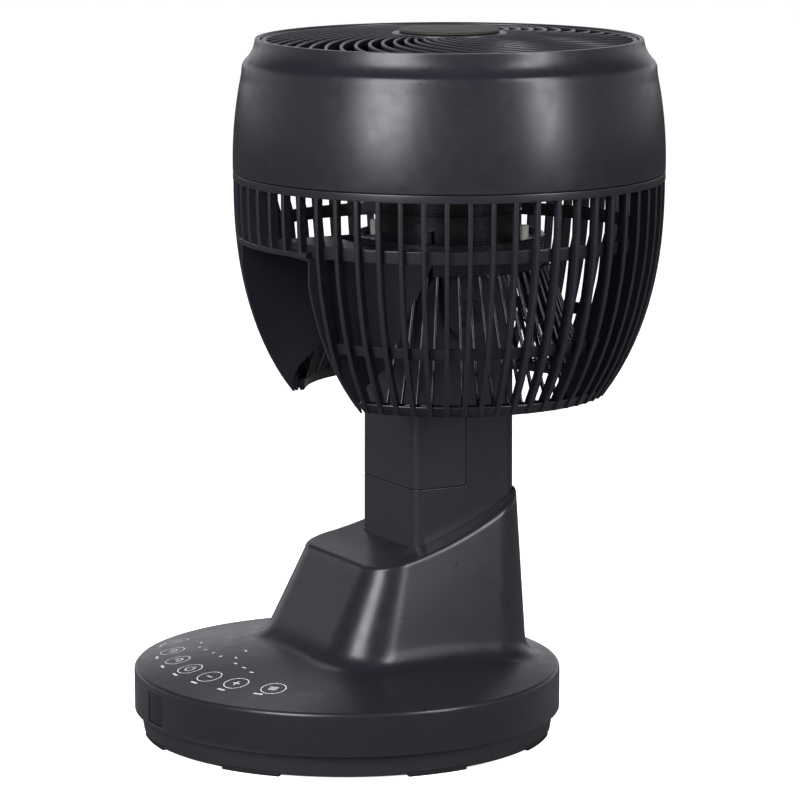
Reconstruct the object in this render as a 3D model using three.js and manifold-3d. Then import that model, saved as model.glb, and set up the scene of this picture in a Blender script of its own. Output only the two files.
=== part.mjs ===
// Air circulator fan with its head tipped up to blow at the ceiling.
// Millimetres, +Z up. -Y is the fan's front. The origin is on the floor, in the middle of
// the fan's outline seen from above: the head stands behind the centre of the round base.
//
// Four things move: the stand swings on the floor tray, the head tips forward on two pins
// in the neck, the rotor spins in the head, and each drive pinion runs on its gear.

import * as THREE from 'three';
import { mergeVertices } from 'three/addons/utils/BufferGeometryUtils.js';
import Module from 'manifold-3d';

const wasm = await Module();
wasm.setup();

// ---------------------------------------------------------------- driving dimensions

// Clearances
const seatGap = 0.3; // between pieces that are fixed to each other
const runningGap = 0.15; // radial, between a pin and its bush
const partingGap = 0.3; // the visible line between two mouldings

// Floor tray and its feet
const footHeight = 2.8;
const footWidth = 9;
const footArc = 17.5; // degrees of the tray's rim under one foot
const footBearings = [26.7, 70.7]; // degrees either side of the tray's own front and back
const trayHeading = 61; // degrees from the fan's front to the tray's front
const trayRadius = 118;
const trayTaper = 2.4; // how far the tray's wall draws in at the floor
const trayWall = 2.4;
const trayTop = 13.6;
const inletWidth = 15;
const inletHeight = 7;
const inletDepth = 12;

// Swivel
const postRadius = 12;
const postBore = 8.5;
const postTop = 25;
const bearingRadius = 62;
const bearingWidth = 10;
const bearingThickness = 1.6;
const swivelPlateBottom = 17;
const swivelPlateThickness = 2.4;
const clipWidth = 5;
const clipThickness = 2;
const gearModule = 2;
const swivelGearTeeth = 20;
const swivelPinionTeeth = 10;
const swivelGearThickness = 5.5;
const swivelGearDrop = 3; // from the swivel plate down to the gears' tops
const swivelStemRadius = 2.5;
const swivelShaftHole = 5;
const swivelMotorRadius = 12;
const swivelMotorHeight = 20;

// Base shell: a skirt, a domed top and the pedestal housing moulded on it
const baseRadius = 123.5;
const skirtBottom = 14.2;
const skirtTop = 36.6;
const rimRound = 2.4;
const domeRise = 12;
const shellWall = 2.4;
const bossRadius = 4;
const bossCircle = 92;
const bossBearings = [52, 126, 234, 308]; // degrees round the base's centre, from its back
const windowArc = 8.4; // degrees of the skirt
const windowHeight = 17;
const windowBottom = 16.8;

// Control board, on pillars of the swivel plate
const boardInner = 74;
const boardOuter = 104;
const boardArc = 96; // degrees
const boardBottom = 33;
const boardThickness = 1.6;
const pillarRadius = 3;
const boardPillars = [[-44, -84], [44, -84], [0, -92]];

// Pedestal housing, in plan about the head's axis
const housingTop = 140;
const housingTopHalfWidth = 43;
const housingSideDraft = 13; // how much wider each side is at the foot
const housingFront = 56;
const housingFrontDraft = 27;
const housingBack = 28;
const housingBackDraft = 1;
const housingFlare = 9; // the concave fillet that runs out into the dome
const housingFrontCorner = 9;
const housingBackCorner = 18;
const housingFootCorner = 14; // added to each corner radius at the foot
const deckFrontHeight = 101; // the sloped deck's height at its front edge
const deckBackHeight = 139;
const deckSag = 11.2; // how far the concave deck hangs under a straight line
const housingFrontEdge = 68;

// Neck
const headSetback = 67.5; // from the base's centre back to the head's axis
const neckWidth = 64.6;
const neckDepth = 67.7;
const neckCorner = 6.6;
const neckWall = 2.6;
const neckSetForward = 7; // the neck's centre, in front of the head's axis
const neckStep = 2.2; // how much smaller the neck is inside the housing
const coverBottom = 143;

// Tilt hinge and drive
const pivotHeight = 244;
const pinRadius = 5;
const pinHead = 3; // how far a pin's head stands out round it
const pinHeadThickness = 1.6;
const bushRadius = 8;
const bushFlange = 11;
const earInner = 34; // from the middle plane to an ear's inner face
const earThickness = 3.4;
const earRadius = 15;
const earFlare = 4; // how much wider each side of an ear is at its top
const tiltGearTeeth = 16;
const tiltPinionTeeth = 8;
const tiltGearInner = 16; // from the middle plane to the gears' inner faces
const tiltGearWidth = 5;
const tiltStemRadius = 2.5;
const tiltMotorRadius = 14;
const tiltMotorLength = 24;
const bracketThickness = 2.4;
const bracketHeight = 34;

// Head: front shell
const headRadius = 125.2;
const seamRise = 78.7; // from the pivot up to the parting line of front shell and rear guard
const chamferRise = 63.6; // from the parting line up to the chamfer's foot
const chamferInset = 7.4; // from the head's radius in to the chamfer's foot
const chamferHollow = 0.9; // how far the chamfer is drawn in at its middle
const lipRise = 12.7; // from the chamfer's foot up to the lip
const lipInset = 13.9; // from the head's radius in to the lip
const shoulderDrop = 8; // from the chamfer down to the top of the shell's bowed side
const shoulderOut = 2; // and outward
const shellBulge = 1.9; // how far the shell's side bows out of a straight taper
const headWall = 2.4;
const spigotHeight = 5; // the guard's lip that reaches up inside the shell

// Front grille
const grilleRim = 3;
const grilleDome = 4.2; // rise of the grille from its rim to its hub
const grilleDepth = 5.5;
const grilleBars = 45;
const grilleBarThickness = 1.7;
const grilleSweep = 52; // degrees that a bar turns from hub to rim
const hubRadius = 33;
const badgeRadius = 29;
const badgeThickness = 2.2;

// Rear guard
const guardDrop = 51; // from the pivot down to the bowl's foot
const guardFootInset = 34.1; // from the head's radius in to the bowl's foot
const guardCurvePower = 2.3;
const guardJoints = [-21, 21, 81, 147, 213, 279, 339]; // degrees from the front
const bowlShares = [0.62, 0.29]; // of the ribs' free height, where their edge changes slope
const ribCount = 60;
const ribThickness = 2.6;
const ribDepth = 8;
const ribInset = 0.9; // how far the ribs lie back from the band's and the foot ring's faces
const bandHeight = 5; // the plain band under the seam
const bandThickness = 9.6; // an inward flange that the ribs stand under
const hoopWidth = 3.2;
const upperHoopRise = 39; // from the pivot up to the upper hoop
const upperHoopHeight = 7.4;
const lowerHoopDrop = 16.2; // from the pivot down to the lower hoop
const lowerHoopHeight = 6.6;
const bottomRingHeight = 6.4;
const bottomRingWidth = 6.8;

// Inner cage
const cageTopRadius = 52;
const cageTopHeight = 12;
const cageRibDepth = 2.6;
const cageRibThickness = 2.2;
const cageRingWidth = 3.6;
const cageJoints = [33, 93, 153, 207, 267, 327]; // degrees from the front

// Tilt slot
const slotHalfWidth = 40.5;
const slotWall = 2;
const slotFrontInset = 11.7; // from the head's radius in to the front of the slot's walls
const slotWallShares = [0, 0.09, 0.21, 0.36, 0.52, 0.7, 1]; // of the slot's height

// Motor
const mountRadius = 55.5;
const mountThickness = 3;
const mountFlange = 6.4; // height of the mount's upturned rim
const mountRim = 2.6;
const motorRadius = 42;
const motorHeight = 36;
const motorCapRadius = 30;
const motorCapHeight = 5;
const motorPostRadius = 2.6;
const motorPostHeight = 14;
const motorPosts = 4;
const shaftRadius = 4;

// Rotor
const rotorGap = 4; // axial, from the motor's cap to the hub
const rotorHubRadius = 31;
const rotorHubHeight = 32;
const rotorHubWall = 2.4;
const rotorFloor = 3;
const bladeCount = 5;
const bladeTipInset = 19.2; // from the head's radius in to the blades' tips
const bladeThickness = 2.4;
const bladeRootPitch = 42; // degrees
const bladeTipPitch = 24;
const bladeRootChord = 40;
const bladeTipChord = 74;
const bladeSkew = 22; // degrees that the tip leads the root
const bladeCamber = 0.06; // of the chord
const bladeStations = [0, 0.33, 0.67, 1]; // of the way from hub to tip
const bladeChordShares = [-0.5, -0.2, 0.15, 0.5];
const nutRadius = 9;
const nutHeight = 7;
const shaftTip = 5; // what the shaft stands out of the nut

// ---------------------------------------------------------------- derived places

const headRearReach = headSetback + headRadius;
const baseY = (baseRadius - headRearReach) / 2;
const headY = baseY + headSetback;
const seatedPlateTop = swivelPlateBottom + swivelPlateThickness;
const knuckleRadius = neckDepth / 2;
const swivelSpacing = (gearModule * (swivelGearTeeth + swivelPinionTeeth)) / 2;
const tiltSpacing = (gearModule * (tiltGearTeeth + tiltPinionTeeth)) / 2;
const tiltPinionHeight = pivotHeight - tiltSpacing;
const swivelGearTop = swivelPlateBottom - swivelGearDrop;
const seamHeight = pivotHeight + seamRise;
const chamferHeight = seamHeight + chamferRise;
const chamferRadius = headRadius - chamferInset;
const lipHeight = chamferHeight + lipRise;
const lipRadius = headRadius - lipInset;
const guardBottom = pivotHeight - guardDrop;
const upperHoopBottom = pivotHeight + upperHoopRise;
const lowerHoopBottom = pivotHeight - lowerHoopDrop;
const slotTop = upperHoopBottom;
const slotFrontReach = headRadius - slotFrontInset;
const bladeTip = headRadius - bladeTipInset;
const mountBottom = slotTop - 3.3;
const motorBottom = mountBottom + mountThickness + seatGap;
const bandBottom = seamHeight - bandHeight;
const guardRingTop = guardBottom + bottomRingHeight;
const motorTop = motorBottom + motorHeight;
const rotorBottom = motorTop + motorCapHeight + rotorGap;
const rotorTop = rotorBottom + rotorHubHeight;
const bladeMiddle = rotorBottom + rotorHubHeight / 2;
const cageBottomRadius = bowlRadius(guardBottom) - bottomRingWidth - seatGap;
const cageTop = mountBottom - seatGap;

// ---------------------------------------------------------------- materials

function plastic(color, roughness) {
  return new THREE.MeshStandardMaterial({ color, roughness, metalness: 0 });
}

const charcoal = plastic(0x2d2d32, 0.5);
const charcoalGloss = plastic(0x26262a, 0.3);
const taupe = plastic(0x5d5550, 0.45);
const blackRubber = plastic(0x17171a, 0.9);
const smokedWindow = plastic(0x141417, 0.2);
const whiteNylon = plastic(0xe4e2da, 0.55);
const boardGreen = plastic(0x1f4d33, 0.5);
const steel = new THREE.MeshStandardMaterial({ color: 0xb9babd, roughness: 0.35, metalness: 1 });

// ---------------------------------------------------------------- geometry helpers

const degrees = THREE.MathUtils.degToRad;

// Leaves only positions, merges the shared corners and drops collapsed triangles.
function weld(geometry) {
  const bare = geometry.index ? geometry.toNonIndexed() : geometry.clone();
  bare.deleteAttribute('normal');
  bare.deleteAttribute('uv');
  const merged = mergeVertices(bare, 1e-4);
  const source = merged.index.array;
  const kept = [];
  for (let i = 0; i < source.length; i += 3) {
    const [a, b, c] = [source[i], source[i + 1], source[i + 2]];
    if (a !== b && b !== c && c !== a) kept.push(a, b, c);
  }
  merged.setIndex(kept);
  if (signedVolume(merged) < 0) turnInsideOut(merged);
  return merged;
}

function signedVolume(geometry) {
  const position = geometry.attributes.position;
  const index = geometry.index.array;
  const corner = [new THREE.Vector3(), new THREE.Vector3(), new THREE.Vector3()];
  let total = 0;
  for (let i = 0; i < index.length; i += 3) {
    corner.forEach((point, k) => point.fromBufferAttribute(position, index[i + k]));
    total += corner[0].dot(corner[1].cross(corner[2])) / 6;
  }
  return total;
}

function turnInsideOut(geometry) {
  const index = geometry.index.array;
  for (let i = 0; i < index.length; i += 3) {
    [index[i + 1], index[i + 2]] = [index[i + 2], index[i + 1]];
  }
}

function solid(geometry) {
  const welded = weld(geometry);
  return new wasm.Manifold(new wasm.Mesh({
    numProp: 3,
    vertProperties: new Float32Array(welded.attributes.position.array),
    triVerts: new Uint32Array(welded.index.array),
  }));
}

function unite(solids) {
  return solids.reduce((whole, next) => whole.add(next));
}

function geometryOf(manifold) {
  const mesh = manifold.getMesh();
  const geometry = new THREE.BufferGeometry();
  geometry.setAttribute('position', new THREE.BufferAttribute(mesh.vertProperties, 3));
  geometry.setIndex(new THREE.BufferAttribute(mesh.triVerts, 1));
  geometry.computeVertexNormals();
  return geometry;
}

// Turns a closed outline of [radius, height] points about the Z axis. `turn` is in degrees.
function revolve(outline, segments = 48, turn = 0) {
  const points = [...outline, outline[0]].map(([r, z]) => new THREE.Vector2(r, z));
  const geometry = new THREE.LatheGeometry(points, segments).rotateX(Math.PI / 2);
  return solid(geometry).rotate([0, 0, turn]);
}

// A ring with a flat for every `ribsPerFlat` ribs, so that no rib crosses a corner of it.
function ribRing(outline, ribsPerFlat) {
  return revolve(outline, ribCount / ribsPerFlat, 180 / ribCount);
}

function tube(inner, outer, low, high, segments = 32) {
  return revolve([[inner, low], [outer, low], [outer, high], [inner, high]], segments);
}

function disc(radius, low, high, segments = 32) {
  return revolve([[0, low], [radius, low], [radius, high], [0, high]], segments);
}

// Skins a stack of rings of points, and closes its two ends.
function loft(rings) {
  const count = rings[0].length;
  const positions = rings.flat().flatMap((point) => [point.x, point.y, point.z]);
  const index = [];
  for (let i = 0; i + 1 < rings.length; i += 1) {
    for (let j = 0; j < count; j += 1) {
      const a = i * count + j;
      const b = i * count + ((j + 1) % count);
      index.push(a, b, b + count, a, b + count, a + count);
    }
  }
  const last = (rings.length - 1) * count;
  for (let j = 1; j + 1 < count; j += 1) {
    index.push(0, j + 1, j, last, last + j, last + j + 1);
  }
  const geometry = new THREE.BufferGeometry();
  geometry.setAttribute('position', new THREE.Float32BufferAttribute(positions, 3));
  geometry.setIndex(index);
  return solid(geometry);
}

// A sheet of even thickness: a grid of points for its top, and the same grid below it.
function sheet(grid, thickness) {
  const rows = grid.length;
  const columns = grid[0].length;
  const top = grid.flat();
  const low = top.map((point) => new THREE.Vector3(point.x, point.y, point.z - thickness));
  const index = [];
  for (let i = 0; i + 1 < rows; i += 1) {
    for (let j = 0; j + 1 < columns; j += 1) {
      const a = i * columns + j;
      const b = a + columns;
      for (const [p, q, r] of [[a, b, a + 1], [a + 1, b, b + 1]]) {
        index.push(p, q, r, p + top.length, r + top.length, q + top.length);
      }
    }
  }
  const edge = [];
  for (let j = 0; j < columns; j += 1) edge.push(j);
  for (let i = 1; i < rows; i += 1) edge.push(i * columns + columns - 1);
  for (let j = columns - 2; j >= 0; j -= 1) edge.push((rows - 1) * columns + j);
  for (let i = rows - 2; i > 0; i -= 1) edge.push(i * columns);
  edge.forEach((a, k) => {
    const b = edge[(k + 1) % edge.length];
    index.push(a, b, b + top.length, a, b + top.length, a + top.length);
  });
  const geometry = new THREE.BufferGeometry();
  const positions = [...top, ...low].flatMap((point) => [point.x, point.y, point.z]);
  geometry.setAttribute('position', new THREE.Float32BufferAttribute(positions, 3));
  geometry.setIndex(index);
  return solid(geometry);
}

function box(xLow, xHigh, yLow, yHigh, zLow, zHigh) {
  const geometry = new THREE.BoxGeometry(xHigh - xLow, yHigh - yLow, zHigh - zLow);
  geometry.translate((xLow + xHigh) / 2, (yLow + yHigh) / 2, (zLow + zHigh) / 2);
  return solid(geometry);
}

// A round rod or ring along X, centred on y, z.
function crossTube(inner, outer, xLow, xHigh, y, z, segments = 18) {
  const upright = inner > 0
    ? tube(inner, outer, xLow, xHigh, segments)
    : disc(outer, xLow, xHigh, segments);
  return upright.rotate([0, 90, 0]).translate([0, y, z]);
}

// Extrudes a closed outline of [y, z] points along X.
function sideProfile(outline, xLow, xHigh) {
  const shape = new THREE.Shape(outline.map(([y, z]) => new THREE.Vector2(y, z)));
  const geometry = new THREE.ExtrudeGeometry(shape, { depth: xHigh - xLow, bevelEnabled: false });
  geometry.applyMatrix4(new THREE.Matrix4().makeBasis(
    new THREE.Vector3(0, 1, 0),
    new THREE.Vector3(0, 0, 1),
    new THREE.Vector3(1, 0, 0),
  ));
  return solid(geometry.translate(xLow, 0, 0));
}

// A rounded rectangle at one height, with its own corner radius at the front and the back.
function roundedRing(halfWidth, front, back, frontCorner, backCorner, z, steps = 3) {
  const ring = [];
  const corners = [
    [halfWidth - frontCorner, front + frontCorner, frontCorner, -90],
    [halfWidth - backCorner, back - backCorner, backCorner, 0],
    [-halfWidth + backCorner, back - backCorner, backCorner, 90],
    [-halfWidth + frontCorner, front + frontCorner, frontCorner, 180],
  ];
  for (const [x, y, radius, start] of corners) {
    for (let i = 0; i <= steps; i += 1) {
      const angle = degrees(start + (90 * i) / steps);
      const px = x + radius * Math.cos(angle);
      const py = y + radius * Math.sin(angle);
      ring.push(new THREE.Vector3(px, py, z));
    }
  }
  return ring;
}

// A spur gear about Z. The teeth are thinned and shortened, so a pair runs with play.
function gear(teeth, bore, low, high, phase = 0) {
  const pitchRadius = (gearModule * teeth) / 2;
  const root = pitchRadius - 1.2 * gearModule;
  const tip = pitchRadius + 0.75 * gearModule;
  const pitch = (2 * Math.PI) / teeth;
  const shape = new THREE.Shape();
  for (let i = 0; i < teeth; i += 1) {
    const middle = phase + i * pitch;
    const corners = [[root, -0.27], [tip, -0.1], [tip, 0.1], [root, 0.27]];
    corners.forEach(([radius, share], k) => {
      const angle = middle + share * pitch;
      const x = radius * Math.cos(angle);
      const y = radius * Math.sin(angle);
      if (i === 0 && k === 0) shape.moveTo(x, y);
      else shape.lineTo(x, y);
    });
  }
  shape.closePath();
  const blank = new THREE.ExtrudeGeometry(shape, { depth: high - low, bevelEnabled: false });
  const toothed = solid(blank.translate(0, 0, low));
  return bore > 0 ? toothed.subtract(disc(bore, low - 1, high + 1, 20)) : toothed;
}

function arcSector(inner, outer, low, high, from, to, steps) {
  const shape = new THREE.Shape();
  for (let i = 0; i <= steps; i += 1) {
    const angle = degrees(from + ((to - from) * i) / steps);
    const point = [outer * Math.sin(angle), -outer * Math.cos(angle)];
    if (i === 0) shape.moveTo(...point);
    else shape.lineTo(...point);
  }
  for (let i = steps; i >= 0; i -= 1) {
    const angle = degrees(from + ((to - from) * i) / steps);
    shape.lineTo(inner * Math.sin(angle), -inner * Math.cos(angle));
  }
  shape.closePath();
  const geometry = new THREE.ExtrudeGeometry(shape, { depth: high - low, bevelEnabled: false });
  return solid(geometry.translate(0, 0, low));
}

// ---------------------------------------------------------------- scene graph

const fan = new THREE.Group();

function place(y) {
  const group = new THREE.Group();
  group.position.set(0, y, 0);
  fan.add(group);
  return group;
}

const floorBase = place(baseY);
const stand = place(baseY);
const neck = place(headY - neckSetForward);
const head = place(headY);

function addPart(group, name, manifold, material) {
  const mesh = new THREE.Mesh(geometryOf(manifold), material);
  mesh.name = name;
  group.add(mesh);
}

// ---------------------------------------------------------------- floor tray

const trayFloorTop = footHeight + trayWall;
const bearingSeat = swivelPlateBottom - seatGap - bearingThickness;

function buildTray() {
  const inner = trayRadius - trayWall;
  const seatIn = bearingRadius - bearingWidth / 2 - 1;
  const seatOut = bearingRadius + bearingWidth / 2 + 1;
  const seatTop = bearingSeat - seatGap;
  const gearSeat = swivelGearTop - swivelGearThickness - seatGap;
  const dish = revolve([
    [postBore, footHeight],
    [trayRadius - trayTaper, footHeight],
    [trayRadius, trayTop],
    [inner, trayTop],
    [inner - trayTaper, trayFloorTop],
    [seatOut, trayFloorTop],
    [seatOut, seatTop],
    [seatIn, seatTop],
    [seatIn, gearSeat],
    [postRadius, gearSeat],
    [postRadius, postTop],
    [postBore, postTop],
  ], 30);
  const opening = box(
    -inletWidth / 2 - seatGap,
    inletWidth / 2 + seatGap,
    trayRadius - inletDepth,
    trayRadius + 1,
    trayFloorTop,
    trayTop + 1,
  );
  addPart(floorBase, 'base_tray', dish.subtract(opening), charcoal);
}

function buildFeet() {
  const outer = trayRadius - trayTaper;
  const bearings = footBearings.flatMap((angle) => [angle, -angle, 180 - angle, 180 + angle]);
  bearings.sort((a, b) => a - b).forEach((bearing, i) => {
    const middle = trayHeading + bearing;
    const from = middle - footArc / 2;
    const to = middle + footArc / 2;
    const top = footHeight - seatGap;
    const foot = arcSector(outer - footWidth, outer, 0, top, from, to, 3);
    addPart(floorBase, `foot_pad_${i + 1}`, foot, blackRubber);
  });
}

function buildSwivelSeat() {
  const ringIn = bearingRadius - bearingWidth / 2;
  const ringOut = bearingRadius + bearingWidth / 2;
  const ring = tube(ringIn, ringOut, bearingSeat, bearingSeat + bearingThickness, 24);
  addPart(floorBase, 'swivel_bearing', ring, whiteNylon);
  const gearLow = swivelGearTop - swivelGearThickness;
  const sun = gear(swivelGearTeeth, postRadius + seatGap, gearLow, swivelGearTop);
  addPart(floorBase, 'swivel_gear', sun, whiteNylon);
  const clipIn = postRadius + seatGap;
  const clipLow = seatedPlateTop + seatGap;
  const clip = tube(clipIn, clipIn + clipWidth, clipLow, clipLow + clipThickness, 16);
  addPart(floorBase, 'retaining_clip', clip, steel);
}

function buildInlet() {
  const back = trayRadius - trayTaper;
  const low = trayFloorTop + seatGap;
  const body = box(
    -inletWidth / 2,
    inletWidth / 2,
    back - inletDepth + seatGap,
    back,
    low,
    low + inletHeight,
  );
  const socket = disc(2.8, 0, inletDepth - 3, 10)
    .rotate([-90, 0, 0])
    .translate([0, back - inletDepth + 4, low + inletHeight / 2]);
  addPart(floorBase, 'power_inlet', body.subtract(socket), smokedWindow);
}

// ---------------------------------------------------------------- base shell

// The shell's dome and skirt, drawn in by `inset` all over.
function domeBody(inset) {
  const outer = baseRadius - inset;
  const shoulder = baseRadius - rimRound;
  const outline = [[0, inset > 0 ? skirtBottom - 1 : skirtBottom]];
  outline.push([outer, outline[0][1]], [outer, skirtTop]);
  if (inset === 0) {
    const lean = rimRound * Math.SQRT1_2;
    outline.push([shoulder + lean, skirtTop + lean]);
  }
  for (const share of [1, 0.55, 0]) {
    const rise = domeRise * (1 - share * share);
    outline.push([shoulder * share - inset * share, skirtTop + rimRound + rise - inset]);
  }
  return revolve(outline, inset > 0 ? 28 : 38);
}

// The housing's outer form, or its hollow where inset is the wall.
function housingBody(inset) {
  const foot = skirtTop + 6;
  const rings = [];
  for (const height of [foot, foot + 5, foot + 14, foot + 34, housingTop + 4]) {
    const up = (height - foot) / (housingTop - foot);
    const down = 1 - up;
    const flare = housingFlare * Math.max(0, down) ** 9;
    const corner = housingFootCorner * down;
    rings.push(roundedRing(
      housingTopHalfWidth + housingSideDraft * down + flare - inset,
      -housingFront - housingFrontDraft * down - flare + inset,
      housingBack + housingBackDraft * down + flare - inset,
      Math.max(housingFrontCorner + corner - inset, 1),
      Math.max(housingBackCorner + corner - inset, 1),
      height,
    ));
  }
  const body = loft(rings);
  return body.intersect(underDeck(inset)).translate([0, headSetback, 0]);
}

// Everything under the sloped, concave deck, in the head axis's own plan.
function underDeck(inset) {
  const front = -housingFrontEdge;
  const back = housingBack;
  const deck = new THREE.QuadraticBezierCurve(
    new THREE.Vector2(front, deckFrontHeight),
    new THREE.Vector2((front + back) / 2, (deckFrontHeight + deckBackHeight) / 2 - deckSag),
    new THREE.Vector2(back, deckBackHeight),
  );
  const top = deck.getPoints(6).map((point) => [point.x, point.y - inset]);
  const slope = (deckBackHeight - deckFrontHeight) / (back - front);
  top.unshift([front - 60, deckFrontHeight - inset - 2]);
  top.push([back + 30, deckBackHeight - inset + 30 * slope]);
  const reach = housingTopHalfWidth + housingSideDraft + 2 * housingFlare + 20;
  return sideProfile([[back + 30, 0], ...top.reverse(), [front - 60, 0]], -reach, reach);
}

// The neck's section at full size or drawn in, between two heights, about the neck's centre.
function neckSection(inset, low, high) {
  const half = neckWidth / 2 - inset;
  const front = -neckDepth / 2 + inset;
  const corner = Math.max(neckCorner - inset, 1);
  return loft([low, high].map((z) => roundedRing(half, front, -front, corner, corner, z)));
}

function buildBaseShell() {
  const outside = domeBody(0).add(housingBody(0));
  const hollow = domeBody(shellWall).add(housingBody(shellWall));
  const throat = neckSection(neckStep - seatGap, skirtTop, housingTop + 10)
    .translate([0, headSetback - neckSetForward, 0]);
  const bosses = bossBearings.map((angle) => {
    const x = bossCircle * Math.sin(degrees(angle));
    const y = bossCircle * Math.cos(degrees(angle));
    return disc(bossRadius, seatedPlateTop + seatGap, skirtTop + 6, 8).translate([x, y, 0]);
  });
  const window = arcSector(
    baseRadius - shellWall - 1,
    baseRadius + 1,
    windowBottom - seatGap,
    windowBottom + windowHeight + seatGap,
    -windowArc / 2 - 0.15,
    windowArc / 2 + 0.15,
    2,
  );
  const shell = unite([outside.subtract(hollow), ...bosses]).subtract(throat);
  addPart(stand, 'base_shell', shell.subtract(window), charcoal);
}

function buildWindow() {
  const inner = baseRadius - shellWall;
  const outer = baseRadius - 0.2;
  const top = windowBottom + windowHeight;
  const pane = arcSector(inner, outer, windowBottom, top, -windowArc / 2, windowArc / 2, 4);
  addPart(stand, 'ir_window', pane, smokedWindow);
}

function buildSwivelPlate() {
  const bore = postRadius + runningGap;
  const plate = tube(bore, baseRadius - shellWall - 1, swivelPlateBottom, seatedPlateTop, 30);
  const shaftHole = disc(swivelShaftHole, 0, skirtTop, 10).translate([0, -swivelSpacing, 0]);
  const pillars = boardPillars.map(([x, y]) => (
    disc(pillarRadius, seatedPlateTop - 1, boardBottom - seatGap, 6).translate([x, y, 0])
  ));
  addPart(stand, 'swivel_plate', unite([plate, ...pillars]).subtract(shaftHole), charcoal);
}

function buildBoard() {
  const top = boardBottom + boardThickness;
  const half = boardArc / 2;
  const board = arcSector(boardInner, boardOuter, boardBottom, top, -half, half, 6);
  addPart(stand, 'control_board', board, boardGreen);
}

function buildSwivelDrive() {
  const low = seatedPlateTop + seatGap;
  const can = disc(swivelMotorRadius, low, low + swivelMotorHeight, 18);
  addPart(stand, 'swivel_motor', can.translate([0, -swivelSpacing, 0]), steel);
  const phase = Math.PI / 2 + Math.PI / swivelPinionTeeth;
  const gearLow = swivelGearTop - swivelGearThickness;
  const wheel = gear(swivelPinionTeeth, 0, gearLow, swivelGearTop, phase);
  const stem = disc(swivelStemRadius, swivelGearTop - 1, seatedPlateTop, 8);
  const pinion = wheel.add(stem).translate([0, -swivelSpacing, 0]);
  addPart(stand, 'swivel_pinion', pinion, whiteNylon);
}

// ---------------------------------------------------------------- neck

// The neck's outer side profile: an upright column with a round knuckle about the pivot.
function knuckleProfile(radius, low) {
  const outline = [[-radius, low], [radius, low]];
  const steps = 9;
  for (let i = 0; i <= steps; i += 1) {
    const angle = (Math.PI * i) / steps;
    outline.push([radius * Math.cos(angle), pivotHeight + radius * Math.sin(angle)]);
  }
  return sideProfile(outline, -neckWidth, neckWidth);
}

function neckColumn(inset) {
  const high = pivotHeight + knuckleRadius + 1;
  return neckSection(inset, 30, high).intersect(knuckleProfile(knuckleRadius - inset, 30));
}

function buildNeck() {
  const foot = seatedPlateTop + seatGap;
  const overDeck = underDeck(-seatGap).translate([0, neckSetForward, 0]);
  const spigot = neckSection(neckStep, foot, housingTop);
  const outside = neckColumn(0).subtract(overDeck).add(spigot);
  const inside = neckColumn(neckWall).add(neckSection(neckStep + neckWall, 0, housingTop));
  const pinHoles = crossTube(0, bushRadius + seatGap, -neckWidth, neckWidth, 0, pivotHeight);
  const casing = outside.subtract(inside).subtract(pinHoles);
  const reach = neckDepth;
  const gap = partingGap / 2;
  const front = box(-reach, reach, -reach, -gap, coverBottom + gap, pivotHeight + reach);
  const cut = box(-reach, reach, -reach, gap, coverBottom - gap, pivotHeight + reach);
  addPart(neck, 'neck_column', casing.subtract(cut), charcoal);
  addPart(neck, 'neck_cover', casing.intersect(front), charcoal);
}

function buildHinge(side, label) {
  const wallInner = neckWidth / 2 - neckWall;
  const wallOuter = neckWidth / 2;
  const flangeTop = earInner - seatGap;
  const turn = side < 0 ? 180 : 0;
  const bush = revolve([
    [pinRadius + runningGap, wallInner - 2],
    [bushRadius, wallInner - 2],
    [bushRadius, wallOuter + seatGap],
    [bushFlange, wallOuter + seatGap],
    [bushFlange, flangeTop],
    [pinRadius + runningGap, flangeTop],
  ], 14).rotate([0, 90, 0]).translate([0, 0, pivotHeight]);
  addPart(neck, `tilt_bush_${label}`, bush.rotate([0, 0, turn]), whiteNylon);

  const pinInner = side > 0 ? tiltGearInner - 0.5 : wallInner - 4;
  const pinOuter = earInner + earThickness;
  const pin = revolve([
    [0, pinInner],
    [pinRadius, pinInner],
    [pinRadius, pinOuter + seatGap],
    [pinRadius + pinHead, pinOuter + seatGap],
    [pinRadius + pinHead, pinOuter + seatGap + pinHeadThickness],
    [0, pinOuter + seatGap + pinHeadThickness],
  ], 14).rotate([0, 90, 0]).translate([0, 0, pivotHeight]);
  addPart(neck, `tilt_pin_${label}`, pin.rotate([0, 0, turn]), steel);

  const earTop = mountBottom - seatGap;
  const outline = [[earRadius + earFlare, earTop], [-earRadius - earFlare, earTop]];
  const steps = 6;
  for (let i = 0; i <= steps; i += 1) {
    const angle = Math.PI + (Math.PI * i) / steps;
    outline.push([earRadius * Math.cos(angle), pivotHeight + earRadius * Math.sin(angle)]);
  }
  const plate = sideProfile(outline, earInner, earInner + earThickness);
  const hole = crossTube(0, pinRadius + seatGap, 0, neckWidth, 0, pivotHeight);
  addPart(neck, `tilt_ear_${label}`, plate.subtract(hole).rotate([0, 0, turn]), charcoal);
}

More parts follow.
